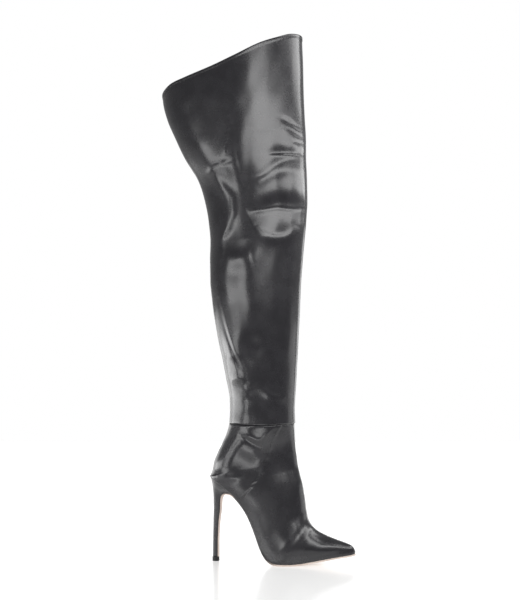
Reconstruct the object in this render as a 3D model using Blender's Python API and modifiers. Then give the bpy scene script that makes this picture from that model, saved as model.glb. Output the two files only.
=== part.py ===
"""A right thigh-high boot of black leather on a stiletto heel, in metres.

+X runs from the heel to the toe, +Y to the wearer's left (the inner side) and +Z up. The boot
stands on z = 0, and its origin is the middle of the heel tip's foot. Leg and foot are cut from
one surface: each section lies in a plane through a point of the back or underside line and a
point of the shin or instep line, and a table holds the sections from the toe to the thigh.
"""

import bmesh
import bpy
import numpy as np

FOOT_LENGTH = 0.2072  # back of the heel to the toe tip, measured along the floor
BALL_WIDTH = 0.076
HEEL_BACK = -0.0089  # the heel seat's rear, from the middle of the heel tip
HEEL_HEIGHT = 0.1217  # floor to the rear of the heel seat
TOE_SPRING = 0.0127
ANKLE_HEIGHT = 0.196  # floor to the seam that joins shaft and foot
SHAFT_HEIGHT = 0.5425  # ankle seam to the front of the topline
TOPLINE_DROP = 0.078
LEG_AXIS = 0.065
THIGH_DEPTH = 0.200
THIGH_WIDTH = 0.130

WALL = 0.0018
TOE_TAPER = 0.014  # the wall thins out over this length before the toe tip
TOE_THINNEST_SHARE = 0.25
GAP = 0.0003  # between pieces that meet
LASTING_MARGIN = 0.009
SEAM_STRIP = 0.0015  # a narrow row of faces that keeps the ankle seam's two rims parallel
VAMP_STEP = 0.0008  # the vamp lies this much under the heel quarter
VAMP_FADE = 0.008
COUNTER_BLEND = 0.006
SOLE_THICKNESS = 0.0020
WAIST_THICKNESS = 0.0013
SOLE_REVEAL = 0.0008
WAIST_INSET = 0.0022
INSOLE_THICKNESS = 0.0024
INSOLE_INSET = 0.0031
BREAST_X = 0.031  # where the heel's lip ends under the waist
ROW_CLEARANCE = 0.004  # the sole has no other row this near to the heel's lip
STEM_DEPTH = 0.0074
STEM_WIDTH = 0.0086
STEM_FRONT_SHARE = 0.4  # of the stem's depth lies before the origin
STEM_WIDEST_SHARE = 0.4
TIP_RADIUS = 0.0049
TIP_HEIGHT = 0.0062
TIP_BEVEL = 0.0004

SHARP_ANGLE = 0.7  # radians between two faces, above which their edge stays crisp
SIDE_STEPS = 15
SHAFT_ROWS = 26
ROUND_SHARE = 0.5523  # handle share that makes a Bezier quarter follow an ellipse

# Foot sections, toe to ankle. back and front: shares of the foot's length from its rear. level:
# height of the underside line, -1 toe tip, 0 tread, 1 heel seat, 2 ankle seam. front_z: share of
# the ankle's height. shift, outer, inner: shares of the ball's width. widest: how far up the
# section its widest place is. flats: shares of outer and inner that lie on the sole. full: how
# broad the section is at its top.
FOOT_COLUMNS = (
    "back", "level", "front", "front_z", "shift", "outer", "inner",
    "widest", "outer_flat", "inner_flat", "full",
)
FOOT_SHARES = (
    (0.998, -1.00, 1.000, 0.089, 0.035, 0.000, 0.000, 0.45, 0.80, 0.80, 0.60),
    (0.994, -0.97, 0.996, 0.106, 0.035, 0.045, 0.045, 0.42, 0.80, 0.80, 0.60),
    (0.988, -0.95, 0.989, 0.120, 0.034, 0.070, 0.070, 0.40, 0.83, 0.83, 0.60),
    (0.979, -0.92, 0.973, 0.137, 0.032, 0.094, 0.095, 0.38, 0.86, 0.86, 0.60),
    (0.956, -0.86, 0.947, 0.150, 0.029, 0.126, 0.130, 0.36, 0.88, 0.88, 0.60),
    (0.919, -0.78, 0.915, 0.163, 0.025, 0.166, 0.174, 0.34, 0.90, 0.90, 0.58),
    (0.864, -0.65, 0.872, 0.179, 0.018, 0.222, 0.235, 0.31, 0.90, 0.90, 0.57),
    (0.791, -0.46, 0.820, 0.199, 0.010, 0.289, 0.308, 0.28, 0.91, 0.91, 0.56),
    (0.714, -0.24, 0.772, 0.223, 0.004, 0.354, 0.378, 0.25, 0.91, 0.91, 0.55),
    (0.642, -0.07, 0.736, 0.246, 0.000, 0.424, 0.450, 0.23, 0.91, 0.91, 0.55),
    (0.574, 0.000, 0.709, 0.274, 0.000, 0.480, 0.492, 0.22, 0.91, 0.90, 0.55),
    (0.516, 0.000, 0.692, 0.303, 0.000, 0.504, 0.494, 0.22, 0.91, 0.88, 0.55),
    (0.467, 0.008, 0.680, 0.336, 0.000, 0.500, 0.476, 0.24, 0.90, 0.85, 0.56),
    (0.429, 0.044, 0.675, 0.365, 0.000, 0.482, 0.452, 0.26, 0.87, 0.81, 0.57),
    (0.394, 0.115, 0.669, 0.398, 0.000, 0.460, 0.434, 0.28, 0.84, 0.76, 0.58),
    (0.364, 0.211, 0.665, 0.434, 0.000, 0.440, 0.421, 0.30, 0.81, 0.72, 0.60),
    (0.340, 0.320, 0.661, 0.469, 0.000, 0.427, 0.411, 0.31, 0.79, 0.70, 0.61),
    (0.313, 0.437, 0.655, 0.508, 0.000, 0.417, 0.405, 0.32, 0.78, 0.70, 0.62),
    (0.277, 0.567, 0.650, 0.546, 0.000, 0.410, 0.403, 0.32, 0.78, 0.72, 0.63),
    (0.229, 0.688, 0.643, 0.584, 0.000, 0.406, 0.402, 0.31, 0.79, 0.76, 0.64),
    (0.176, 0.789, 0.633, 0.620, 0.000, 0.402, 0.400, 0.30, 0.82, 0.81, 0.65),
    (0.116, 0.877, 0.625, 0.655, 0.000, 0.398, 0.398, 0.28, 0.85, 0.85, 0.65),
    (0.067, 0.932, 0.617, 0.686, 0.000, 0.396, 0.396, 0.27, 0.76, 0.76, 0.65),
    (0.033, 0.967, 0.613, 0.713, 0.000, 0.396, 0.396, 0.27, 0.57, 0.57, 0.65),
    (0.015, 0.987, 0.611, 0.732, 0.000, 0.397, 0.397, 0.27, 0.34, 0.34, 0.65),
    (0.006, 0.997, 0.609, 0.745, 0.000, 0.398, 0.398, 0.27, 0.17, 0.17, 0.65),
    (0.007, 1.000, 0.608, 0.758, 0.000, 0.399, 0.399, 0.27, 0.00, 0.00, 0.65),
    (0.022, 1.105, 0.604, 0.786, 0.000, 0.406, 0.406, 0.28, 0.00, 0.00, 0.64),
    (0.033, 1.260, 0.599, 0.827, 0.000, 0.420, 0.420, 0.31, 0.00, 0.00, 0.63),
    (0.057, 1.428, 0.596, 0.867, 0.000, 0.442, 0.442, 0.35, 0.00, 0.00, 0.61),
    (0.086, 1.596, 0.593, 0.911, 0.000, 0.472, 0.472, 0.40, 0.00, 0.00, 0.59),
    (0.118, 1.785, 0.591, 0.957, 0.000, 0.500, 0.500, 0.44, 0.00, 0.00, 0.57),
)
# Leg sections, ankle seam to thigh. height: share of the shaft's height. back and front: shares
# of the thigh's depth from the leg's axis. half: half-width, a share of the thigh's width.
LEG_COLUMNS = ("height", "back", "front", "half", "widest", "full")
LEG_SHARES = (
    (0.000, -0.226, 0.242, 0.301, 0.48, 0.56),
    (0.035, -0.221, 0.239, 0.299, 0.48, 0.56),
    (0.060, -0.222, 0.241, 0.304, 0.48, 0.56),
    (0.112, -0.247, 0.251, 0.331, 0.48, 0.55),
    (0.164, -0.273, 0.258, 0.358, 0.48, 0.55),
    (0.215, -0.304, 0.265, 0.381, 0.48, 0.55),
    (0.267, -0.329, 0.273, 0.396, 0.48, 0.55),
    (0.318, -0.348, 0.278, 0.406, 0.48, 0.55),
    (0.370, -0.363, 0.285, 0.409, 0.48, 0.55),
    (0.421, -0.364, 0.296, 0.408, 0.48, 0.55),
    (0.472, -0.360, 0.309, 0.411, 0.48, 0.55),
    (0.526, -0.374, 0.322, 0.420, 0.48, 0.55),
    (0.577, -0.400, 0.329, 0.431, 0.49, 0.55),
    (0.629, -0.442, 0.326, 0.445, 0.50, 0.55),
    (0.682, -0.515, 0.320, 0.461, 0.51, 0.55),
    (0.737, -0.600, 0.317, 0.477, 0.52, 0.55),
    (0.790, -0.671, 0.310, 0.491, 0.53, 0.55),
    (0.844, -0.707, 0.303, 0.500, 0.53, 0.55),
    (0.910, -0.716, 0.298, 0.500, 0.53, 0.55),
    (1.000, -0.716, 0.290, 0.500, 0.53, 0.55),
)
# The topline: distance from back to front as a share, and its drop as a share of the whole drop.
TOPLINE_SHARES = (
    (0.000, 1.000), (0.035, 0.950), (0.108, 0.862), (0.214, 0.795), (0.400, 0.654),
    (0.580, 0.462), (0.750, 0.244), (0.873, 0.115), (0.950, 0.030), (1.000, 0.000),
)
# The seam between heel quarter and vamp, seen from the side: shares of the ankle's height and of
# the foot's length.
COUNTER_SEAM_SHARES = (
    (0.38, 0.182), (0.48, 0.258), (0.57, 0.329), (0.64, 0.377),
    (0.71, 0.407), (0.78, 0.431), (0.87, 0.461), (1.00, 0.527),
)
# Heel sections below the seat. back_z and front_z: shares of the heel's height. back, front and
# half: how much of the way from the stem's foot to the seat is left. flat: the breast's share of
# the width.
HEEL_COLUMNS = ("back_z", "back", "front_z", "front", "half", "flat")
HEEL_SHARES = (
    (0.965, 0.568, 0.7855, 0.858, 0.926, 0.92),
    (0.932, 0.295, 0.7965, 0.680, 0.796, 0.88),
    (0.900, 0.090, 0.7965, 0.502, 0.634, 0.84),
    (0.863, -0.045, 0.7855, 0.338, 0.472, 0.80),
    (0.826, -0.160, 0.7625, 0.224, 0.333, 0.77),
    (0.785, -0.270, 0.7300, 0.167, 0.227, 0.75),
    (0.731, -0.364, 0.6820, 0.142, 0.144, 0.73),
    (0.616, -0.410, 0.6000, 0.128, 0.080, 0.72),
    (0.468, -0.270, 0.4680, 0.053, 0.038, 0.72),
    (0.230, -0.070, 0.2300, 0.004, 0.010, 0.72),
    (0.130, -0.020, 0.1300, 0.000, 0.000, 0.72),
)
BALL_ROWS = (9, 19)  # the FOOT_SHARES rows between which rows are doubled
HEEL_SIDE_STEPS = 10

BLACK_LEATHER = (0.020, 0.019, 0.020, 1.0)
NUDE_LEATHER = (0.530, 0.330, 0.220, 1.0)
DARK_LINING = (0.035, 0.032, 0.032, 1.0)
BLACK_RUBBER = (0.012, 0.012, 0.012, 1.0)


def smooth(keys, values, at):
    """Reads a curve through (keys, values) at the places in at, with no overshoot."""
    gaps = np.diff(keys)
    slopes = np.diff(values) / gaps
    before, after = slopes[:-1], slopes[1:]
    same_way = before * after > 0
    inner = np.where(same_way, 2 * before * after / np.where(same_way, before + after, 1.0), 0.0)
    tangents = np.concatenate([slopes[:1], inner, slopes[-1:]])
    spot = np.clip(np.searchsorted(keys, at, side="right") - 1, 0, len(gaps) - 1)
    share = (at - keys[spot]) / gaps[spot]
    rest = 1.0 - share
    start = values[spot] + gaps[spot] * tangents[spot] * share
    end = values[spot + 1] - gaps[spot] * tangents[spot + 1] * rest
    return start * rest**2 * (1 + 2 * share) + end * share**2 * (1 + 2 * rest) - (
        gaps[spot] * share**2 * rest**2 * 2 * (tangents[spot] - tangents[spot + 1])
    )


def columns(table, names):
    """A table's rows as one array for each named column."""
    return dict(zip(names, np.array(table, float).T))


def make_stations():
    """All sections from toe to thigh in metres. key is the height, carried on below the ankle."""
    foot = columns(FOOT_SHARES, FOOT_COLUMNS)
    leg = columns(LEG_SHARES, LEG_COLUMNS)
    tread = SOLE_THICKNESS + GAP
    levels = [tread + TOE_SPRING, tread, HEEL_HEIGHT, ANKLE_HEIGHT]
    made = {
        "base_x": np.concatenate(
            [HEEL_BACK + foot["back"] * FOOT_LENGTH, LEG_AXIS + leg["back"] * THIGH_DEPTH]
        ),
        "tip_x": np.concatenate(
            [HEEL_BACK + foot["front"] * FOOT_LENGTH, LEG_AXIS + leg["front"] * THIGH_DEPTH]
        ),
    }
    leg_z = ANKLE_HEIGHT + leg["height"] * SHAFT_HEIGHT
    made["base_z"] = np.concatenate([np.interp(foot["level"], [-1, 0, 1, 2], levels), leg_z])
    made["tip_z"] = np.concatenate([foot["front_z"] * ANKLE_HEIGHT, leg_z])
    still = np.zeros(len(leg_z))
    made["shift"] = np.concatenate([foot["shift"] * BALL_WIDTH, still])
    for side in ("outer", "inner"):
        made[side] = np.concatenate([foot[side] * BALL_WIDTH, leg["half"] * THIGH_WIDTH])
        flat = foot[side] * foot[side + "_flat"] * BALL_WIDTH
        made[side + "_flat"] = np.concatenate([flat, still])
    for name in ("widest", "full"):
        made[name] = np.concatenate([foot[name], leg[name]])
    steps = sum(
        np.hypot(np.diff(made[end + "_x"]), np.diff(made[end + "_z"])) for end in ("base", "tip")
    )
    toe_to_ankle = np.concatenate([[0.0], np.cumsum(steps / 2)])[: len(foot["back"]) + 1]
    made["key"] = np.concatenate([ANKLE_HEIGHT + toe_to_ankle[:-1] - toe_to_ankle[-1], leg_z])
    return made


STATIONS = make_stations()


def station(at):
    """Every column of the stations, read at the keys in at."""
    return {
        name: smooth(STATIONS["key"], values, at)
        for name, values in STATIONS.items()
        if name != "key"
    }


def key_where(name, value, low, high):
    """The key between low and high at which a column, such as base_x, has that value."""
    keys = np.linspace(low, high, 400)
    found = station(keys)[name]
    order = np.argsort(found)
    return float(np.interp(value, found[order], keys[order]))


def bezier(p0, p1, p2, p3, share):
    """A cubic Bezier and its direction at share."""
    rest = 1 - share
    place = rest**3 * p0 + 3 * rest**2 * share * p1 + 3 * rest * share**2 * p2 + share**3 * p3
    direction = rest**2 * (p1 - p0) + 2 * rest * share * (p2 - p1) + share**2 * (p3 - p2)
    return place, direction


def half_section(turn, long, half, flat, widest, full):
    """Half a section: (distance up it, distance out, the outward normal's two parts).

    turn goes from 0, at the edge of the flat underside, to 1, at the middle of the top.
    """
    low = turn < 0.5
    share = np.where(low, 2 * turn, 2 * turn - 1)
    top = widest * long
    up_a, rise_a = bezier(0 * top, 0 * top, top * (1 - ROUND_SHARE), top, share)
    out_a, grow_a = bezier(flat, flat + ROUND_SHARE * (half - flat), half, half, share)
    up_b, rise_b = bezier(top, top + full * (long - top), long, long, share)
    out_b, grow_b = bezier(half, half, full * half, 0 * half, share)
    up, out = np.where(low, up_a, up_b), np.where(low, out_a, out_b)
    rise, grow = np.where(low, rise_a, rise_b), np.where(low, grow_a, grow_b)
    size = np.maximum(np.hypot(rise, grow), 1e-9)
    return up, out, -grow / size, rise / size


def counter_cover(x, z):
    """1 on the heel quarter, 0 on the vamp, with a short slope between them."""
    seam = np.array(COUNTER_SEAM_SHARES)
    line = HEEL_BACK + FOOT_LENGTH * smooth(seam[:, 0] * ANKLE_HEIGHT, seam[:, 1], z)
    share = np.clip((line - x) / COUNTER_BLEND + 0.5, 0, 1)
    return share**2 * (3 - 2 * share)


def leather(around, at, proud=0.0):
    """Points of the boot's outer face, as an array of x, y and z.

    around: 0 back or outer sole edge, 0.5 outer side, 1 shin, 1.5 inner side, 2 back or inner
    sole edge. at: station keys. proud: how far outwards of the last's surface.
    """
    around, at = np.broadcast_arrays(around, at)
    here = station(at)
    outer = around <= 1
    turn = np.where(outer, around, 2 - around)
    half = np.where(outer, here["outer"], here["inner"])
    flat = np.where(outer, here["outer_flat"], here["inner_flat"])
    dx, dz = here["tip_x"] - here["base_x"], here["tip_z"] - here["base_z"]
    long = np.hypot(dx, dz)
    up, out, normal_up, normal_out = half_section(
        turn, long, half, flat, here["widest"], here["full"]
    )
    up, out = up + proud * normal_up, out + proud * normal_out
    share = up / long
    x = here["base_x"] + share * dx
    z = here["base_z"] + share * dz
    y = here["shift"] + np.where(outer, -1, 1) * out
    return np.stack([x, y, z], axis=-1)


def grid_faces(rows, cols):
    """Quads between neighbouring rows and columns of points numbered row by row."""
    at = np.arange(rows - 1)[:, None] * cols + np.arange(cols - 1)[None, :]
    return np.stack([at, at + 1, at + 1 + cols, at + cols], axis=-1).reshape(-1, 4)


def new_object(name, points, faces, material, closed=False):
    """An object from points and faces, its doubles merged, in the boot's collection."""
    mesh = bpy.data.meshes.new(name)
    mesh.from_pydata(np.reshape(points, (-1, 3)).tolist(), [], faces)
    shape = bmesh.new()
    shape.from_mesh(mesh)
    bmesh.ops.remove_doubles(shape, verts=shape.verts, dist=1e-6)
    bmesh.ops.dissolve_degenerate(shape, edges=shape.edges, dist=1e-6)
    if closed:
        bmesh.ops.recalc_face_normals(shape, faces=shape.faces)
    shape.to_mesh(mesh)
    shape.free()
    mesh.shade_smooth()
    if closed:
        mesh.set_sharp_from_angle(angle=SHARP_ANGLE)
    obj = bpy.data.objects.new(name, mesh)
    obj.data.materials.append(material)
    BOOT.objects.link(obj)
    return obj


def add_wall(obj):
    """Gives an open surface its leather's thickness, inwards, thinner at the toe's very tip."""
    toe_x = HEEL_BACK + FOOT_LENGTH
    group = obj.vertex_groups.new(name="thickness")
    for vertex in obj.data.vertices:
        share = (toe_x - vertex.co.x) / TOE_TAPER
        group.add([vertex.index], min(max(share, TOE_THINNEST_SHARE), 1.0), "REPLACE")
    wall = obj.modifiers.new("wall", "SOLIDIFY")
    wall.thickness = WALL
    wall.offset = -1
    wall.vertex_group = group.name
    wall.use_even_offset = True
    wall.thickness_clamp = 1.0


def paint(name, colour, roughness):
    """A plain surface of one colour."""
    material = bpy.data.materials.new(name)
    material.use_nodes = True
    shader = material.node_tree.nodes["Principled BSDF"]
    shader.inputs["Base Color"].default_value = colour
    shader.inputs["Roughness"].default_value = roughness
    return material


def make_shaft(material):
    """The leg of the boot, from the ankle seam to the slanted topline."""
    around = np.linspace(0, 2, 4 * SIDE_STEPS // 2 + 1)
    thigh = leather(around, np.full(len(around), ANKLE_HEIGHT + SHAFT_HEIGHT - TOPLINE_DROP))
    across = (thigh[:, 0] - thigh[:, 0].min()) / np.ptp(thigh[:, 0])
    line = np.array(TOPLINE_SHARES)
    top = ANKLE_HEIGHT + SHAFT_HEIGHT - TOPLINE_DROP * smooth(line[:, 0], line[:, 1], across)
    foot = ANKLE_HEIGHT + GAP / 2
    rows = np.insert(np.linspace(0, 1, SHAFT_ROWS), 1, SEAM_STRIP / SHAFT_HEIGHT)
    at = foot + rows[:, None] * (top - foot)[None, :]
    points = leather(around[None, :], at)
    faces = grid_faces(*at.shape).tolist()
    add_wall(new_object("shaft", points, faces, material))


def foot_keys():
    """Keys of the rows that the foot's pieces share, closer together round the ball."""
    keys = STATIONS["key"][: len(FOOT_SHARES)]
    between = (keys[BALL_ROWS[0] : BALL_ROWS[1] - 1] + keys[BALL_ROWS[0] + 1 : BALL_ROWS[1]]) / 2
    return np.sort(np.append(keys, between))


def inset(here, flats, distance):
    """Half-widths of an outline that lies the given distance inside that of the flat sole."""
    along = np.hypot(np.diff(here["base_x"]), np.diff(here["base_z"]))
    along = np.append(0.0, np.cumsum(along))
    slope = np.gradient(here[flats], along)
    return np.maximum(here[flats] - distance * np.hypot(1, slope), 0)


def make_upper(material):
    """Vamp and heel quarter: the foot's leather, lasted under the insole all round."""
    around = np.linspace(0, 2, 2 * SIDE_STEPS + 1)
    keys = np.append(foot_keys(), [ANKLE_HEIGHT - SEAM_STRIP, ANKLE_HEIGHT - GAP / 2])
    at = keys[:, None]
    last = leather(around[None, :], at)
    edge = np.where((around <= 1)[None, :, None], last[:, :1], last[:, -1:])
    reach = np.clip(np.linalg.norm(last - edge, axis=-1) / VAMP_FADE, 0, 1)
    fade = reach**2 * (3 - 2 * reach)
    sunk = VAMP_STEP * (1 - counter_cover(last[..., 0], last[..., 2])) * fade
    points = leather(around[None, :], at, -sunk)
    here = station(keys)
    under = points[:, [0, -1]].copy()
    under[:, 0, 1] = here["shift"] - inset(here, "outer_flat", LASTING_MARGIN)
    under[:, 1, 1] = here["shift"] + inset(here, "inner_flat", LASTING_MARGIN)
    points = np.concatenate([under[:, :1], points, under[:, 1:]], axis=1)
    faces = grid_faces(*points.shape[:2]).tolist()
    add_wall(new_object("upper", points, faces, material))


def path_normals(path):
    """For points along the underside from toe to heel, unit vectors away from the shoe."""
    along = np.gradient(path, axis=0)
    along /= np.linalg.norm(along, axis=1, keepdims=True)
    return np.stack([-along[:, 1], along[:, 0]], axis=1)


def make_ribbon(name, path, normals, near, far, middle, outer, inner, material):
    """A thin piece straight across the foot that follows a path of x and z under it.

    near and far: how far its two faces lie from the path, along the normals.
    """
    edges = []
    for away, side in ((near, -1), (far, -1), (far, 1), (near, 1)):
        place = path + normals * np.reshape(away, (-1, 1))
        y = middle + (side * outer if side < 0 else side * inner)
        edges.append(np.stack([place[:, 0], y, place[:, 1]], axis=1))
    points = np.stack(edges + edges[:1], axis=1)
    rows = len(path)
    faces = grid_faces(rows, 5).tolist()
    ends = [[3, 2, 1, 0], [5 * (rows - 1) + corner for corner in range(4)]]
    new_object(name, points, faces + ends, material, closed=True)


def heel_lines(breast_key, seat_key):
    """The heel's sections: (front points, back points, width shares, flats), seat first."""
    rows = columns(HEEL_SHARES, HEEL_COLUMNS)
    breast, seat = station(np.array(breast_key)), station(np.array(seat_key))
    foot_front, foot_back = STEM_FRONT_SHARE * STEM_DEPTH, (STEM_FRONT_SHARE - 1) * STEM_DEPTH
    front = np.stack(
        [foot_front + rows["front"] * (breast["base_x"] - foot_front), rows["front_z"] * HEEL_HEIGHT],
        axis=1,
    )
    back = np.stack(
        [foot_back + rows["back"] * (seat["base_x"] - foot_back), rows["back_z"] * HEEL_HEIGHT],
        axis=1,
    )
    foot_z = TIP_HEIGHT + GAP
    front = np.concatenate([front, [[foot_front, foot_z]]])
    back = np.concatenate([back, [[foot_back, foot_z]]])
    return front, back, np.append(rows["half"], 0.0), np.append(rows["flat"], rows["flat"][-1])


def make_heel(material, breast_key, seat_key):
    """The covered heel: it takes the heel seat's outline and narrows to a D-shaped stem."""
    front, back, shares, flats = heel_lines(breast_key, seat_key)
    turn = np.linspace(0, 1, HEEL_SIDE_STEPS + 1)
    up, stem_out, _, _ = half_section(turn, 1.0, 1.0, flats[-1], STEM_WIDEST_SHARE, ROUND_SHARE)
    keys = np.linspace(breast_key, seat_key, 200)
    line = station(keys)
    covered = (keys - breast_key) / (seat_key - breast_key)
    share = (line["base_x"][0] - line["base_x"]) / (line["base_x"][0] - line["base_x"][-1])
    spots = breast_key + np.interp(up, share, covered) * (seat_key - breast_key)
    seat = station(spots)
    path = np.stack([seat["base_x"], seat["base_z"]], axis=1)
    seat_path = path + GAP * path_normals(path)
    wide = max(seat["outer_flat"].max(), seat["inner_flat"].max())
    seat_out = (seat["outer_flat"] + seat["inner_flat"]) / 2
    seat_out[-1] = 0.0
    rows = [np.stack([seat_path[:, 0], seat_out, seat_path[:, 1]], axis=1)]
    for near, far, left, flat in zip(front, back, shares, flats):
        half = STEM_WIDTH / 2 + left * (wide - STEM_WIDTH / 2)
        profile = left * seat_out / wide + (1 - left) * stem_out
        profile[0] = flat
        place = near + up[:, None] * (far - near)
        rows.append(np.stack([place[:, 0], half * profile, place[:, 1]], axis=1))
    sides = np.array(rows)
    mirrored = sides[:, -2::-1] * np.array([1.0, -1.0, 1.0])
    loop = np.concatenate([sides, mirrored, sides[:, :1]], axis=1)
    count = loop.shape[1]
    faces = grid_faces(*loop.shape[:2]).tolist()
    last = (len(rows) - 1) * count
    for step in range(HEEL_SIDE_STEPS):
        other = count - 2 - step
        corners = [step, step + 1, other - 1, other]
        if step == HEEL_SIDE_STEPS - 1:
            corners.remove(other - 1)
        faces.append(corners)
        faces.append([last + corner for corner in corners])
    new_object("heel", loop, faces, material, closed=True)


def make_outsole(material, breast_key):
    """The leather sole, toe to waist, and on down the heel's breast to the heel tip."""
    keys = foot_keys()
    keys = np.append(keys[keys < breast_key - ROW_CLEARANCE], breast_key)
    sole = station(keys)
    front, _, shares, flats = heel_lines(breast_key, STATIONS["key"][len(FOOT_SHARES) - 6])
    sole_path = np.stack([sole["base_x"], sole["base_z"]], axis=1)
    path = np.concatenate([sole_path, front])
    tread = SOLE_THICKNESS + GAP
    height = (sole["base_z"] - tread) / (HEEL_HEIGHT - tread)
    forward = sole["base_x"] > HEEL_BACK + 0.5 * FOOT_LENGTH
    lifted = np.where(forward, 0.0, np.clip(height / 0.25, 0, 1))
    reveal = SOLE_REVEAL - (SOLE_REVEAL + WAIST_INSET) * lifted
    wide = station(np.array(breast_key))["outer_flat"]
    breast_half = (STEM_WIDTH / 2 + shares * (wide - STEM_WIDTH / 2)) * flats
    breast_half = breast_half - 0.25 * GAP
    outer = np.concatenate([sole["outer_flat"] + reveal, breast_half])
    inner = np.concatenate([sole["inner_flat"] + reveal, breast_half])
    thick = SOLE_THICKNESS - (SOLE_THICKNESS - WAIST_THICKNESS) * np.append(
        lifted, np.ones(len(front))
    )
    middle = np.append(sole["shift"], np.zeros(len(front)))
    make_ribbon(
        "outsole", path, path_normals(path), GAP, GAP + thick, middle, outer, inner, material
    )


def make_insole(material):
    """The insole board, on the lasted margin inside the foot."""
    keys = foot_keys()
    keys = keys[(keys >= STATIONS["key"][3]) & (keys <= STATIONS["key"][len(FOOT_SHARES) - 8])]
    here = station(keys)
    path = np.stack([here["base_x"], here["base_z"]], axis=1)
    make_ribbon(
        "insole",
        path,
        path_normals(path),
        -(WALL + GAP + INSOLE_THICKNESS),
        -(WALL + GAP),
        here["shift"],
        inset(here, "outer_flat", INSOLE_INSET),
        inset(here, "inner_flat", INSOLE_INSET),
        material,
    )


def make_heel_tip(material):
    """The hard-wearing tip under the stem."""
    bpy.ops.mesh.primitive_cylinder_add(
        vertices=24, radius=TIP_RADIUS, depth=TIP_HEIGHT, location=(0, 0, TIP_HEIGHT / 2)
    )
    tip = bpy.context.object
    tip.name = tip.data.name = "heel_tip"
    tip.data.materials.append(material)
    edge = tip.modifiers.new("edge", "BEVEL")
    edge.width = TIP_BEVEL
    edge.segments = 2
    for holder in tip.users_collection:
        holder.objects.unlink(tip)
    BOOT.objects.link(tip)


def main():
    black = paint("black smooth leather", BLACK_LEATHER, 0.33)
    nude = paint("nude sole leather", NUDE_LEATHER, 0.45)
    lining = paint("insole lining", DARK_LINING, 0.6)
    rubber = paint("heel tip rubber", BLACK_RUBBER, 0.5)
    seat_key = STATIONS["key"][len(FOOT_SHARES) - 6]
    breast_key = key_where("base_x", BREAST_X, STATIONS["key"][12], seat_key)
    make_shaft(black)
    make_upper(black)
    make_insole(lining)
    make_outsole(nude, breast_key)
    make_heel(black, breast_key, seat_key)
    make_heel_tip(rubber)


for old in list(bpy.data.objects):
    bpy.data.objects.remove(old)
BOOT = bpy.data.collections.new("thigh high boot")
bpy.context.scene.collection.children.link(BOOT)
main()
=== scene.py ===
"""A right thigh-high boot of black calf leather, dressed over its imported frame.

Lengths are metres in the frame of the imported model: +X runs from the heel to the toe, +Y to the
wearer's left (the inner side) and +Z up. Leg and foot share one surface, worked out by Last. Each
sub-assembly is a class that samples that surface, lays creases and seams on it and adds it to
the scene.
"""

import logging
import math
from dataclasses import dataclass
from enum import Enum

import bmesh
import bpy
import numpy as np
from mathutils import Euler, Matrix


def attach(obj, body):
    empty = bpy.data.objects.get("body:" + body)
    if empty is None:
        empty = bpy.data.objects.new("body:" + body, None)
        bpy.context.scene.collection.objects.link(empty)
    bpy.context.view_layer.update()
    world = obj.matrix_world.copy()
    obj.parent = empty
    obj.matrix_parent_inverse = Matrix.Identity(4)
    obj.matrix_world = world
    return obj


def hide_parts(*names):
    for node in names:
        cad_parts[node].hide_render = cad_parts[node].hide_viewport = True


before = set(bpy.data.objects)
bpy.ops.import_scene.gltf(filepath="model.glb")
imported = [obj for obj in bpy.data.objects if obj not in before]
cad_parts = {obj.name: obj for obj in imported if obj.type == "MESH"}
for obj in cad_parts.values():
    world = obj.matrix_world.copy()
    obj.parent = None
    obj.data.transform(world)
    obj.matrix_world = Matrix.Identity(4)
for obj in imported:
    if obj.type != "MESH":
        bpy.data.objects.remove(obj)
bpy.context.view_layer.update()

LOG = logging.getLogger("boot")
Array = np.ndarray
MM = 0.001

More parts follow.
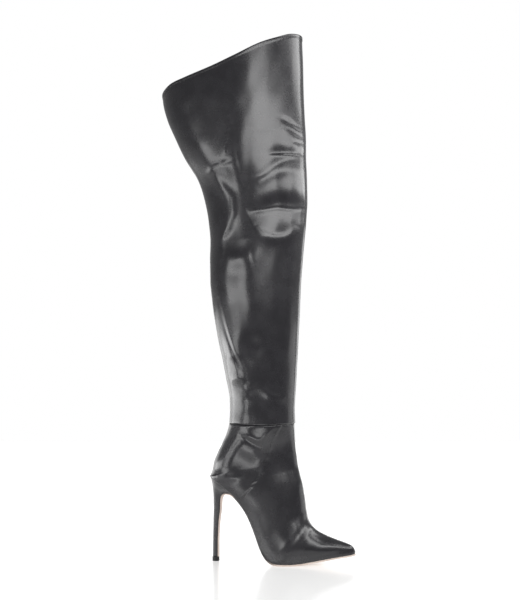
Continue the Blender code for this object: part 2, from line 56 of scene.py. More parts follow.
# Sections from the toe to the ankle seam. back and front are the ends of a section, as shares of
# the foot's length from its rear. level is the height of the underside: -1 toe tip, 0 tread, 1
# heel seat, 2 ankle seam. front_z is a share of the ankle's height. shift, outer and inner are
# shares of the ball's width, and the flats are shares of outer and inner that lie on the sole.
# widest says how far up a section its widest place is, and full how broad its top is.
FOOT_COLUMNS = (
    "back", "level", "front", "front_z", "shift", "outer", "inner",
    "widest", "outer_flat", "inner_flat", "full",
)
FOOT = (
    (0.998, -1.00, 1.000, 0.089, 0.035, 0.000, 0.000, 0.45, 0.80, 0.80, 0.60),
    (0.994, -0.97, 0.996, 0.106, 0.035, 0.045, 0.045, 0.42, 0.80, 0.80, 0.60),
    (0.988, -0.95, 0.989, 0.120, 0.034, 0.070, 0.070, 0.40, 0.83, 0.83, 0.60),
    (0.979, -0.92, 0.973, 0.137, 0.032, 0.094, 0.095, 0.38, 0.86, 0.86, 0.60),
    (0.956, -0.86, 0.947, 0.150, 0.029, 0.126, 0.130, 0.36, 0.88, 0.88, 0.60),
    (0.919, -0.78, 0.915, 0.163, 0.025, 0.166, 0.174, 0.34, 0.90, 0.90, 0.58),
    (0.864, -0.65, 0.872, 0.179, 0.018, 0.222, 0.235, 0.31, 0.90, 0.90, 0.57),
    (0.791, -0.46, 0.820, 0.199, 0.010, 0.289, 0.308, 0.28, 0.91, 0.91, 0.56),
    (0.714, -0.24, 0.772, 0.223, 0.004, 0.354, 0.378, 0.25, 0.91, 0.91, 0.55),
    (0.642, -0.07, 0.736, 0.246, 0.000, 0.424, 0.450, 0.23, 0.91, 0.91, 0.55),
    (0.574, 0.000, 0.709, 0.274, 0.000, 0.480, 0.492, 0.22, 0.91, 0.90, 0.55),
    (0.516, 0.000, 0.692, 0.303, 0.000, 0.504, 0.494, 0.22, 0.91, 0.88, 0.55),
    (0.467, 0.008, 0.680, 0.336, 0.000, 0.500, 0.476, 0.24, 0.90, 0.85, 0.56),
    (0.429, 0.044, 0.675, 0.365, 0.000, 0.482, 0.452, 0.26, 0.87, 0.81, 0.57),
    (0.394, 0.115, 0.669, 0.398, 0.000, 0.460, 0.434, 0.28, 0.84, 0.76, 0.58),
    (0.364, 0.211, 0.665, 0.434, 0.000, 0.440, 0.421, 0.30, 0.81, 0.72, 0.60),
    (0.340, 0.320, 0.661, 0.469, 0.000, 0.427, 0.411, 0.31, 0.79, 0.70, 0.61),
    (0.313, 0.437, 0.655, 0.508, 0.000, 0.417, 0.405, 0.32, 0.78, 0.70, 0.62),
    (0.277, 0.567, 0.650, 0.546, 0.000, 0.410, 0.403, 0.32, 0.78, 0.72, 0.63),
    (0.229, 0.688, 0.643, 0.584, 0.000, 0.406, 0.402, 0.31, 0.79, 0.76, 0.64),
    (0.176, 0.789, 0.633, 0.620, 0.000, 0.402, 0.400, 0.30, 0.82, 0.81, 0.65),
    (0.116, 0.877, 0.625, 0.655, 0.000, 0.398, 0.398, 0.28, 0.85, 0.85, 0.65),
    (0.067, 0.932, 0.617, 0.686, 0.000, 0.396, 0.396, 0.27, 0.76, 0.76, 0.65),
    (0.033, 0.967, 0.613, 0.713, 0.000, 0.396, 0.396, 0.27, 0.57, 0.57, 0.65),
    (0.015, 0.987, 0.611, 0.732, 0.000, 0.397, 0.397, 0.27, 0.34, 0.34, 0.65),
    (0.006, 0.997, 0.609, 0.745, 0.000, 0.398, 0.398, 0.27, 0.17, 0.17, 0.65),
    (0.007, 1.000, 0.608, 0.758, 0.000, 0.399, 0.399, 0.27, 0.00, 0.00, 0.65),
    (0.022, 1.105, 0.604, 0.786, 0.000, 0.406, 0.406, 0.28, 0.00, 0.00, 0.64),
    (0.033, 1.260, 0.599, 0.827, 0.000, 0.420, 0.420, 0.31, 0.00, 0.00, 0.63),
    (0.057, 1.428, 0.596, 0.867, 0.000, 0.442, 0.442, 0.35, 0.00, 0.00, 0.61),
    (0.086, 1.596, 0.593, 0.911, 0.000, 0.472, 0.472, 0.40, 0.00, 0.00, 0.59),
    (0.118, 1.785, 0.591, 0.957, 0.000, 0.500, 0.500, 0.44, 0.00, 0.00, 0.57),
)
# Sections from the ankle seam to the thigh. height is a share of the shaft's height, back and
# front are shares of the thigh's depth from the leg's axis, and half is a share of its width.
LEG_COLUMNS = ("height", "back", "front", "half", "widest", "full")
LEG = (
    (0.000, -0.226, 0.242, 0.301, 0.48, 0.56),
    (0.035, -0.221, 0.239, 0.299, 0.48, 0.56),
    (0.060, -0.222, 0.241, 0.304, 0.48, 0.56),
    (0.112, -0.247, 0.251, 0.331, 0.48, 0.55),
    (0.164, -0.273, 0.258, 0.358, 0.48, 0.55),
    (0.215, -0.304, 0.265, 0.381, 0.48, 0.55),
    (0.267, -0.329, 0.273, 0.396, 0.48, 0.55),
    (0.318, -0.348, 0.278, 0.406, 0.48, 0.55),
    (0.370, -0.363, 0.285, 0.409, 0.48, 0.55),
    (0.421, -0.364, 0.296, 0.408, 0.48, 0.55),
    (0.472, -0.360, 0.309, 0.411, 0.48, 0.55),
    (0.526, -0.374, 0.322, 0.420, 0.48, 0.55),
    (0.577, -0.400, 0.329, 0.431, 0.49, 0.55),
    (0.629, -0.442, 0.326, 0.445, 0.50, 0.55),
    (0.682, -0.515, 0.320, 0.461, 0.51, 0.55),
    (0.737, -0.600, 0.317, 0.477, 0.52, 0.55),
    (0.790, -0.671, 0.310, 0.491, 0.53, 0.55),
    (0.844, -0.707, 0.303, 0.500, 0.53, 0.55),
    (0.910, -0.716, 0.298, 0.500, 0.53, 0.55),
    (1.000, -0.716, 0.290, 0.500, 0.53, 0.55),
)
# The topline: distance from the back as a share, and its drop as a share of the whole drop.
TOPLINE = (
    (0.000, 1.000), (0.035, 0.950), (0.108, 0.862), (0.214, 0.795), (0.400, 0.654),
    (0.580, 0.462), (0.750, 0.244), (0.873, 0.115), (0.950, 0.030), (1.000, 0.000),
)
# The edge of the heel quarter: shares of the ankle's height and of the foot's length.
COUNTER = (
    (0.38, 0.182), (0.48, 0.258), (0.57, 0.329), (0.64, 0.377),
    (0.71, 0.407), (0.78, 0.431), (0.87, 0.461), (1.00, 0.527),
)
# Heel sections below the seat. back_z and front_z are shares of the heel's height. back, front
# and half say how much of the way from the stem's foot to the seat is left, and flat is the
# breast's share of the width.
HEEL_COLUMNS = ("back_z", "back", "front_z", "front", "half", "flat")
HEEL = (
    (0.965, 0.568, 0.7855, 0.858, 0.926, 0.92),
    (0.932, 0.295, 0.7965, 0.680, 0.796, 0.88),
    (0.900, 0.090, 0.7965, 0.502, 0.634, 0.84),
    (0.863, -0.045, 0.7855, 0.338, 0.472, 0.80),
    (0.826, -0.160, 0.7625, 0.224, 0.333, 0.77),
    (0.785, -0.270, 0.7300, 0.167, 0.227, 0.75),
    (0.731, -0.364, 0.6820, 0.142, 0.144, 0.73),
    (0.616, -0.410, 0.6000, 0.128, 0.080, 0.72),
    (0.468, -0.270, 0.4680, 0.053, 0.038, 0.72),
    (0.230, -0.070, 0.2300, 0.004, 0.010, 0.72),
    (0.130, -0.020, 0.1300, 0.000, 0.000, 0.72),
)


class Side(Enum):
    """Which side of the boot a crease lies on."""

    OUTER = "outer"
    INNER = "inner"


# Numbers and curves


def smooth(keys: Array, values: Array, at: Array) -> Array:
    """Reads a monotone cubic through a table, with no overshoot.

    Each tangent is the harmonic mean of the slopes on its two sides, or level where they turn.

    Args:
        keys: rising places of the table.
        values: values at those places.
        at: where to read the curve.

    Returns:
        The curve's values, in the shape of at.
    """
    gaps = np.diff(keys)
    slopes = np.diff(values) / gaps
    before, after = slopes[:-1], slopes[1:]
    same = before * after > 0
    inner = np.where(same, 2 * before * after / np.where(same, before + after, 1.0), 0.0)
    tangents = np.concatenate([slopes[:1], inner, slopes[-1:]])
    spot = np.clip(np.searchsorted(keys, at, side="right") - 1, 0, len(gaps) - 1)
    share = (at - keys[spot]) / gaps[spot]
    rest = 1.0 - share
    return (
        values[spot] * rest**2 * (1 + 2 * share)
        + values[spot + 1] * share**2 * (1 + 2 * rest)
        + gaps[spot] * share * rest * (tangents[spot] * rest - tangents[spot + 1] * share)
    )


def ease(share: Array) -> Array:
    """Turns 0 to 1 into a soft step with level ends."""
    share = np.clip(share, 0.0, 1.0)
    return share**2 * (3 - 2 * share)


def columns(table: tuple, names: tuple) -> dict[str, Array]:
    """Gives a table's columns by name."""
    return dict(zip(names, np.array(table, float).T))


def unit(vectors: Array) -> Array:
    """Scales vectors in the last axis to length one."""
    return vectors / np.maximum(np.linalg.norm(vectors, axis=-1, keepdims=True), 1e-12)


def bezier(p0: Array, p1: Array, p2: Array, p3: Array, share: Array) -> tuple[Array, Array]:
    """Gives a cubic Bezier's place and direction at share."""
    rest = 1 - share
    place = rest**3 * p0 + 3 * rest**2 * share * p1 + 3 * rest * share**2 * p2 + share**3 * p3
    along = rest**2 * (p1 - p0) + 2 * rest * share * (p2 - p1) + share**2 * (p3 - p2)
    return place, along


# The boot's surface


@dataclass(frozen=True)
class Last:
    """The surface that leg and foot share, read at (around, key).

    around is 0 at the back or the outer sole edge, 0.5 on the outer side, 1 on the shin, 1.5 on
    the inner side and 2 at the back again. key is the height on the leg, and goes on below the
    ankle seam as the mean length of the underside and instep lines down to the toe tip.
    """

    foot_length: float = 0.2072
    ball_width: float = 0.076
    heel_back: float = -0.0089
    heel_height: float = 0.1217
    toe_spring: float = 0.0127
    ankle_height: float = 0.196
    shaft_height: float = 0.5425
    topline_drop: float = 0.078
    leg_axis: float = 0.065
    thigh_depth: float = 0.200
    thigh_width: float = 0.130
    wall: float = 0.0018
    gap: float = 0.0003
    sole_thickness: float = 0.0020
    vamp_step: float = 0.0008
    vamp_fade: float = 0.008
    handle: float = 0.5523

    def stations(self) -> dict[str, Array]:
        """Works out every section's sizes in metres, with their keys.

        A foot section's key is the ankle's height less the mean length of the underside and
        instep lines from the ankle down to it, and a leg section's is its own height.

        Returns:
            Each column by its name, from the toe to the thigh.
        """
        foot = columns(FOOT, FOOT_COLUMNS)
        leg = columns(LEG, LEG_COLUMNS)
        tread = self.sole_thickness + self.gap
        levels = [tread + self.toe_spring, tread, self.heel_height, self.ankle_height]
        leg_z = self.ankle_height + leg["height"] * self.shaft_height
        made: dict[str, Array] = {}
        for end, name in (("base", "back"), ("tip", "front")):
            low = self.heel_back + foot[name] * self.foot_length
            made[end + "_x"] = np.append(low, self.leg_axis + leg[name] * self.thigh_depth)
        made["base_z"] = np.append(np.interp(foot["level"], [-1, 0, 1, 2], levels), leg_z)
        made["tip_z"] = np.append(foot["front_z"] * self.ankle_height, leg_z)
        still = np.zeros(len(leg_z))
        made["shift"] = np.append(foot["shift"] * self.ball_width, still)
        for side in ("outer", "inner"):
            made[side] = np.append(foot[side] * self.ball_width, leg["half"] * self.thigh_width)
            flat = foot[side] * foot[side + "_flat"] * self.ball_width
            made[side + "_flat"] = np.append(flat, still)
        for name in ("widest", "full"):
            made[name] = np.append(foot[name], leg[name])
        steps = sum(
            np.hypot(np.diff(made[end + "_x"]), np.diff(made[end + "_z"]))
            for end in ("base", "tip")
        )
        length = np.append(0.0, np.cumsum(steps / 2))[: len(FOOT) + 1]
        made["key"] = np.append(self.ankle_height + length[:-1] - length[-1], leg_z)
        return made

    def read(self, at: Array) -> dict[str, Array]:
        """Reads every column of the sections at the keys in at."""
        made = self.stations()
        keys = made.pop("key")
        return {name: smooth(keys, values, at) for name, values in made.items()}

    def section(
        self, turn: Array, long: Array, half: Array, flat: Array, widest: Array, full: Array
    ) -> tuple[Array, Array, Array, Array]:
        """Works out half a section: two Bezier quarters that meet at its widest place.

        Args:
            turn: 0 at the edge of the flat underside to 1 at the middle of the top.
            long: length of the section.
            half: half-width at the widest place.
            flat: half-width of the flat underside.
            widest: share of the length at which it is widest.
            full: how broad the top is, as a Bezier handle's share.

        Returns:
            Distance up, distance out, and the outward normal's parts up and out.
        """
        low = turn < 0.5
        share = np.where(low, 2 * turn, 2 * turn - 1)
        top = widest * long
        up_a, rise_a = bezier(0 * top, 0 * top, top * (1 - self.handle), top, share)
        out_a, grow_a = bezier(flat, flat + self.handle * (half - flat), half, half, share)
        up_b, rise_b = bezier(top, top + full * (long - top), long, long, share)
        out_b, grow_b = bezier(half, half, full * half, 0 * half, share)
        rise, grow = np.where(low, rise_a, rise_b), np.where(low, grow_a, grow_b)
        size = np.maximum(np.hypot(rise, grow), 1e-9)
        return np.where(low, up_a, up_b), np.where(low, out_a, out_b), -grow / size, rise / size

    def point(self, around: Array, at: Array, proud: Array | float = 0.0) -> Array:
        """Gives points of the outer face, moved outwards in their sections by proud.

        The section at a key lies in the plane through its underside point and its instep point,
        at right angles to the boot's side view, and section() gives its outline there.

        Args:
            around: places around the section.
            at: keys of the sections.
            proud: how far outside the outer face the points lie, below 0 for inside.

        Returns:
            The points, in the joint shape of around and at.
        """
        around, at = np.broadcast_arrays(around, at)
        here = self.read(at)
        outer = around <= 1
        turn = np.where(outer, around, 2 - around)
        half = np.where(outer, here["outer"], here["inner"])
        flat = np.where(outer, here["outer_flat"], here["inner_flat"])
        dx, dz = here["tip_x"] - here["base_x"], here["tip_z"] - here["base_z"]
        long = np.hypot(dx, dz)
        up, out, normal_up, normal_out = self.section(
            turn, long, half, flat, here["widest"], here["full"]
        )
        share = (up + proud * normal_up) / long
        out = out + proud * normal_out
        y = here["shift"] + np.where(outer, -1, 1) * out
        return np.stack([here["base_x"] + share * dx, y, here["base_z"] + share * dz], axis=-1)

    def normal(self, around: Array, at: Array) -> Array:
        """Gives outward unit normals: the cross product of the directions around and up.

        Both directions are differences over a small step. Where the underside is not flat the
        step runs on across the back line, so both sides agree there.

        Args:
            around: places around the section.
            at: keys of the sections.

        Returns:
            One unit vector for each place.
        """
        step, rise = 0.001, 0.0002
        around, at = np.broadcast_arrays(around, at)
        open_below = self.read(at)["outer_flat"] > 1e-6
        low, high = around - step, around + step
        low = np.where(open_below, np.maximum(low, 0.0), low % 2)
        high = np.where(open_below, np.minimum(high, 2.0), high % 2)
        across = self.point(high, at) - self.point(low, at)
        return unit(np.cross(across, self.point(around, at + rise) - self.point(around, at - rise)))

    def seam_wave(self, around: Array) -> Array:
        """Gives the ankle seam's small drop: a bell curve on each side and a faint sine."""
        sag = np.exp(-(((around - 0.55) / 0.22) ** 2)) + np.exp(-(((around - 1.45) / 0.22) ** 2))
        return -0.0016 * sag + 0.0003 * np.sin(around * 9.0 * math.pi)

    def topline(self, around: Array) -> Array:
        """Reads the topline's drop at each place's share of the thigh's depth.

        Args:
            around: places around the leg, the thigh's front and back among them.

        Returns:
            The topline's height at each place.
        """
        low = self.ankle_height + self.shaft_height - self.topline_drop
        thigh = self.point(around, np.full(len(around), low))
        across = (thigh[:, 0] - thigh[:, 0].min()) / np.ptp(thigh[:, 0])
        line = np.array(TOPLINE)
        drop = self.topline_drop * smooth(line[:, 0], line[:, 1], across)
        return self.ankle_height + self.shaft_height - drop

    def counter_line(self, z: Array) -> Array:
        """Gives the X of the heel quarter's edge at height z."""
        seam = np.array(COUNTER)
        return self.heel_back + self.foot_length * smooth(
            seam[:, 0] * self.ankle_height, seam[:, 1], z
        )


# The photograph's view


@dataclass(frozen=True)
class View:
    """The photograph's view of the boot, in metres and pixels.

    azimuth: degrees by which the camera stands round towards the toe. middle_height and
    middle_across: the place in the boot's plane that the picture's middle shows.
    """

    azimuth: float = 10.0
    distance: float = 1.85
    camera_height: float = 0.300
    middle_height: float = 0.370
    middle_across: float = 0.0625
    metres_per_pixel: float = 0.00142
    image_width: int = 520
    image_height: int = 600

    def axes(self) -> Array:
        """Gives the view's level directions: to the right, and from the boot to the camera."""
        angle = math.radians(self.azimuth)
        right = (math.cos(angle), math.sin(angle), 0.0)
        return np.array([right, (math.sin(angle), -math.cos(angle), 0.0)])

    def eye(self) -> Array:
        """Gives the camera's place."""
        level = np.array([self.middle_across, self.distance]) @ self.axes()
        return level + np.array([0.0, 0.0, self.camera_height])

    def scale(self) -> float:
        """Gives the picture's pixels to a unit of width over distance."""
        return self.distance / self.metres_per_pixel

    def lift(self) -> float:
        """Gives the pixels by which a level camera's picture is shifted upwards."""
        return (self.middle_height - self.camera_height) / self.metres_per_pixel

    def pixels(self, points: Array) -> Array:
        """Projects points: their offsets from the camera over their distance, times the scale.

        Args:
            points: places in metres.

        Returns:
            (across, down) of each in the photograph.
        """
        from_eye = points - self.eye()
        across, away = np.moveaxis(from_eye @ self.axes().T, -1, 0)
        x = self.image_width / 2 - self.scale() * across / away
        y = self.image_height / 2 + self.scale() * from_eye[..., 2] / away + self.lift()
        return np.stack([x, y], axis=-1)


# Creases


@dataclass(frozen=True)
class Fold:
    """A soft ridge or trough along a line on one side of the boot.

    path: corners of the line, as (across, down) pixels of the photograph. width: half-width of
    the fold in mm. height: its rise in mm, below 0 for a trough. lean: -1 to 1, above 0 to make
    it wider on the right hand of the way along it. before: corners ahead of the path that lie
    off the boot, as (X, Z) in mm.
    """

    name: str
    path: tuple[tuple[float, float], ...]
    width: float
    height: float
    lean: float = 0.0
    side: Side = Side.OUTER
    before: tuple[tuple[float, float], ...] = ()

    def marks(self) -> Array:
        """Gives the pixels that the fold is placed by."""
        return np.array(self.path, float)

    def relief(self, x: Array, z: Array, places: Array) -> Array:
        """Works out the fold's rise at surface points.

        The corners are rounded by the monotone cubic. The distance to that line gives a bell
        curve across it. Its width goes from one side's to the other's with the sine of the angle
        off the line, so the ends are smooth too. The place along the line fades the fold in and
        out with half a sine.

        Args:
            x: X of the points in mm.
            z: Z of the points in mm.
            places: where the marks lie on the boot, as (X, Z) in mm.

        Returns:
            The rise in mm.
        """
        knots = np.concatenate([np.reshape(self.before, (-1, 2)), places])
        spots = np.linspace(0, len(knots) - 1, 6 * len(knots))
        order = np.arange(len(knots), dtype=float)
        corners = np.stack([smooth(order, knots[:, axis], spots) for axis in (0, 1)], axis=1)
        steps = np.diff(corners, axis=0)
        lengths = np.hypot(steps[:, 0], steps[:, 1])
        starts = np.append(0.0, np.cumsum(lengths))
        best = np.full(x.shape, np.inf)
        signed = np.zeros(x.shape)
        place = np.zeros(x.shape)
        for corner, step, length, start in zip(corners, steps, lengths, starts):
            dx, dz = x - corner[0], z - corner[1]
            along = np.clip((dx * step[0] + dz * step[1]) / length**2, 0, 1)
            away = np.hypot(dx - along * step[0], dz - along * step[1])
            nearer = away < best
            best = np.where(nearer, away, best)
            right = (dx * step[1] - dz * step[0]) / (length * np.maximum(away, 1e-9))
            signed = np.where(nearer, np.clip(right, -1, 1), signed)
            place = np.where(nearer, start + along * length, place)
        width = self.width * (1 + self.lean * signed)
        fade = np.sin(np.pi * np.clip(place / starts[-1], 0.02, 0.98)) ** 0.6
        return self.height * np.exp(-((best / width) ** 2)) * fade


@dataclass(frozen=True)
class Dent:
    """A broad hollow or swelling: an ellipse on one side of the boot, sizes in mm.

    centre: its middle, as an (across, down) pixel of the photograph. turn: degrees by which its
    first axis is turned from X towards Z.
    """

    name: str
    centre: tuple[float, float]
    radii: tuple[float, float]
    height: float
    turn: float = 0.0
    side: Side = Side.OUTER

    def marks(self) -> Array:
        """Gives the pixel that the dent is placed by."""
        return np.array([self.centre], float)

    def relief(self, x: Array, z: Array, places: Array) -> Array:
        """Works out the dent's rise: a bell curve in the ellipse's own turned axes.

        Args:
            x: X of the points in mm.
            z: Z of the points in mm.
            places: where the marks lie on the boot, as (X, Z) in mm.

        Returns:
            The rise in mm.
        """
        angle = math.radians(self.turn)
        dx, dz = x - places[0, 0], z - places[0, 1]
        along = dx * math.cos(angle) + dz * math.sin(angle)
        across = dz * math.cos(angle) - dx * math.sin(angle)
        return self.height * np.exp(-((along / self.radii[0]) ** 2) - (across / self.radii[1]) ** 2)


# The places were picked in the photograph. The widths and heights were tried against its light and
# shade.
FOLDS: tuple[Fold | Dent, ...] = (
    # thigh front: three short pleats
    Fold("pleat_upper", ((281, 117), (290, 123), (301, 130)), 3.8, -0.65),
    Fold("pleat_middle", ((286, 127), (295, 133), (303, 139)), 3.4, -0.5),
    Fold("pleat_lower", ((292, 141), (304, 144)), 2.6, -0.35),
    # above the knee
    Fold("thigh_crease", ((266, 153), (280, 152.5), (303, 155)), 5.0, -1.2, -0.5),
    Fold(
        "thigh_trough", ((250, 178), (264, 174), (275, 165), (285, 160), (300, 158)),
        5.0, -0.6, -0.2,
    ),
    Fold("thigh_ridge", ((256, 186), (270, 176), (284, 170), (300, 170)), 7.0, 0.7),
    # knee: the deep valley with a sharp crease in it, and the lower rim of the pouch
    Fold(
        "knee_valley",
        ((248, 217), (258, 211), (270, 206), (282, 204), (294, 204), (308, 206)),
        16.0, -2.8, 0.25,
    ),
    Fold(
        "knee_crease", ((250, 211), (265, 210), (280, 208), (292, 209), (308, 210)), 2.4, -0.5
    ),
    Fold(
        "pouch_rim",
        ((255, 224), (260, 231), (268, 236), (276, 238), (284, 237), (291, 233), (299, 226)),
        7.0, 1.1, 0.3,
    ),
    # outer side of the knee
    Fold("knee_hollow", ((252, 125), (250, 160), (248, 200), (252, 240)), 30.0, -2.4, -0.5),
    Fold("knee_roll", ((224, 256), (236, 258), (244, 257.5), (252, 256)), 12.0, 1.8, 0.25),
    # back of the knee
    Fold(
        "knee_back_roll", ((197, 157), (206, 160), (216, 160), (226, 163), (240, 160)),
        31.0, 3.8, -0.3, before=((-70, 575),),
    ),
    Fold("knee_back_crease", ((234, 160), (222, 164), (212, 169), (213, 175)), 3.4, -0.45),
    Fold(
        "knee_back_ridge",
        ((212, 168), (221, 184), (231, 199), (232, 210), (229, 225), (222, 240), (221, 257)),
        7.8, 1.9, 0.25,
    ),
    # calf
    Fold("calf_roll", ((226, 353), (234, 355), (243, 352)), 14.0, 1.2, -0.5),
    Fold(
        "calf_ridge", ((218, 285), (221, 305), (226, 330), (232, 352), (237, 372)), 5.0, 1.1
    ),
    Fold(
        "calf_trough",
        ((219, 300), (225, 328), (231, 347), (237, 361), (243, 374), (250, 386)),
        3.0, -1.5,
    ),
    Fold("calf_lower_roll", ((231, 377), (237, 379), (246, 377)), 8.0, 1.5, -0.3),
    Dent("calf_hollow", (254, 348), (16, 19), -3.6),
    Fold("calf_lower_ridge", ((258, 383), (266, 392), (275, 397), (287, 398)), 6.0, 1.3, 0.2),
    # ankle
    Dent("ankle_swell_upper", (247, 391), (8, 9), 1.1),
    Dent("ankle_swell_lower", (248, 407), (9, 12), 1.2),
    Fold(
        "ankle_ridge", ((243, 430), (250, 437), (259, 440), (265, 435), (271, 428)), 2.6, 0.9
    ),
    Fold("ankle_trough", ((238, 433), (251, 443), (262, 448)), 2.6, -0.9),
    # heel quarter
    Dent("quarter_swell", (249, 452), (15, 9), 1.5, -40),
    Dent("quarter_swell_front", (262, 468), (10, 7), 0.8, -40),
    Fold("quarter_ridge", ((216, 477), (225, 478), (234, 477), (241, 475)), 8.0, 1.5, -0.2),
    # vamp
    Fold("vamp_ridge", ((288, 522), (298, 529), (308, 535)), 9.0, 0.6),
    Fold("toe_ridge", ((303, 547), (312, 549), (330, 551)), 7.0, 0.5),
)


@dataclass(frozen=True)
class Creases:
    """All the folds and dents of the boot, and a faint waviness of the leather.

    places: where the marks of each row of FOLDS lie on the boot, as (X, Z) in mm. ripple: height
    of the waves in mm. inner_share, inner_back and inner_below: how strong the outer side's folds
    are on the inner side, and how far behind and below them they lie in mm. turn_width: distance
    in mm across the middle over which one side's folds give way to the other's. search_rows and
    search_cols: the grid on which the places are found. least_facing: cosine off the camera's
    direction from which a point of it counts as seen.
    """

    places: tuple[Array, ...]
    ripple: float = 0.10
    inner_share: float = 0.7
    inner_back: float = 4.0
    inner_below: float = 9.0
    turn_width: float = 16.0
    search_rows: int = 1200
    search_cols: int = 401
    least_facing: float = 0.02

    @classmethod
    def laid(cls, last: Last, view: View) -> "Creases":
        """Finds where on the boot the photograph shows each fold and dent.

        A fine grid is laid over the outer side and seen by the photograph's camera. Each mark
        takes the nearest of its points that face the camera, to the whole millimetre.

        Args:
            last: the boot's surface.
            view: the photograph's view of it.

        Returns:
            The creases, in their places.
        """
        top = last.ankle_height + last.shaft_height
        keys = np.linspace(last.stations()["key"][0], top, cls.search_rows)
        grid = last.point(np.linspace(0.0, 1.0, cls.search_cols)[None, :], keys[:, None])
        facing = (surface_normals(grid) * unit(view.eye() - grid)).sum(axis=-1)
        seen = grid[facing > cls.least_facing]
        pixels = view.pixels(seen)
        places = []
        for fold in FOLDS:
            off = np.linalg.norm(pixels - fold.marks()[:, None, :], axis=-1)
            places.append(np.rint(seen[off.argmin(axis=1)][:, [0, 2]] / MM))
            LOG.info("crease %s: %s", fold.name, places[-1].astype(int).tolist())
        return cls(tuple(places))

    def rise(self, points: Array) -> Array:
        """Works out how far the leather stands off its smooth form.

        Each fold counts fully on its own side of the boot and fades out where the surface
        turns to the other side. The inner side carries the outer side's folds a little lower
        and weaker, as a worn boot does. Three crossed sine waves of unlike lengths in mm give
        the waviness.

        Args:
            points: surface points in metres.

        Returns:
            The rise in metres.
        """
        x, y, z = (points[..., axis] / MM for axis in range(3))
        outer = ease(0.5 - y / self.turn_width)
        total = np.zeros(x.shape)
        for fold, places in zip(FOLDS, self.places):
            weight = outer if fold.side is Side.OUTER else 1 - outer
            total += weight * fold.relief(x, z, places)
            if fold.side is Side.OUTER:
                carried = fold.relief(x + self.inner_back, z + self.inner_below, places)
                total += self.inner_share * (1 - outer) * carried
        waves = np.sin(x / 9.1 + y / 13.3) * np.sin(z / 15.7 + 1.3)
        waves = waves + 0.6 * np.sin(x / 5.3 - z / 8.9 + y / 7.1)
        waves = waves + 0.5 * np.sin(z / 27.0 - y / 19.0)
        return (total + self.ripple * waves) * MM


# Meshes


def grid_faces(rows: int, cols: int) -> Array:
    """Numbers the quads between neighbouring rows and columns of a grid of points.

    Args:
        rows: rows of the grid.
        cols: points in a row.

    Returns:
        Four corner numbers for each quad.
    """
    at = np.arange(rows - 1)[:, None] * cols + np.arange(cols - 1)[None, :]
    return np.stack([at, at + 1, at + 1 + cols, at + cols], axis=-1).reshape(-1, 4)


def make_object(
    name: str, points: Array, faces: Array | list, closed: bool = False, merge: float = 1e-6
) -> bpy.types.Object:
    """Makes a smooth-shaded object from points and faces.

    Args:
        name: the piece's name.
        points: corners, in any shape whose last axis is x, y and z.
        faces: corner numbers of each face.
        closed: whether the faces enclose a solid, whose normals are then set outwards.
        merge: distance within which corners become one.

    Returns:
        The new object, linked to the scene.
    """
    mesh = bpy.data.meshes.new(name)
    listed = faces.tolist() if isinstance(faces, np.ndarray) else faces
    mesh.from_pydata(np.reshape(points, (-1, 3)).tolist(), [], listed)
    shape = bmesh.new()
    shape.from_mesh(mesh)
    bmesh.ops.remove_doubles(shape, verts=shape.verts, dist=merge)
    bmesh.ops.dissolve_degenerate(shape, edges=shape.edges, dist=merge)
    if closed:
        bmesh.ops.recalc_face_normals(shape, faces=shape.faces)
    shape.to_mesh(mesh)
    shape.free()
    mesh.shade_smooth()
    made = bpy.data.objects.new(name, mesh)
    bpy.context.scene.collection.objects.link(made)
    return made


def surface_normals(points: Array) -> Array:
    """Gives unit normals of a grid: the cross product of its column and row directions."""
    down = np.gradient(points, axis=0)
    along = np.gradient(points, axis=1)
    return unit(np.cross(along, down))


def thicken(piece: bpy.types.Object, thickness: float) -> None:
    """Gives an open sheet its thickness, inwards.

    Args:
        piece: the sheet.
        thickness: how thick it gets, in metres.
    """
    wall = piece.modifiers.new("thickness", "SOLIDIFY")
    wall.thickness = thickness
    wall.offset = -1
    wall.use_even_offset = False


def loop_faces(rows: int, cols: int, cap: bool = True) -> list[list[int]]:
    """Numbers the quads between closed loops of points, row by row, and the two end caps.

    Args:
        rows: how many loops there are.
        cols: points in a loop.
        cap: whether the first and the last loop are closed by a face.

    Returns:
        The corner numbers of each face.
    """
    at = np.arange(rows - 1)[:, None] * cols
    here, there = np.arange(cols)[None, :], (np.arange(cols)[None, :] + 1) % cols
    quads = np.stack([at + here, at + there, at + there + cols, at + here + cols], axis=-1)
    faces = quads.reshape(-1, 4).tolist()
    if cap:
        faces += [list(range(cols))[::-1], list(range((rows - 1) * cols, rows * cols))]
    return faces


def dress(piece: bpy.types.Object, finish: bpy.types.Material, slot: str, *nodes: str) -> None:
    """Gives a piece its material and its body, and hides the CAD nodes it stands for.

    Args:
        piece: the piece.
        finish: its material.
        slot: not used.
        nodes: names of the CAD nodes that it replaces.
    """
    piece.data.materials.clear()
    piece.data.materials.append(finish)
    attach(piece, "root")
    if nodes:
        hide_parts(*nodes)
    LOG.info("%s: %d faces", piece.name, len(piece.data.polygons))


# Finishes


def linear(code: str) -> tuple[float, float, float, float]:
    """Turns an sRGB hex code into the linear colour that a shader takes.

    Args:
        code: a number sign and six hex digits.

    Returns:
        Red, green, blue and an alpha of 1.
    """
    parts = [int(code[at : at + 2], 16) / 255 for at in (1, 3, 5)]
    made = [p / 12.92 if p <= 0.04045 else ((p + 0.055) / 1.055) ** 2.4 for p in parts]
    return (*made, 1.0)


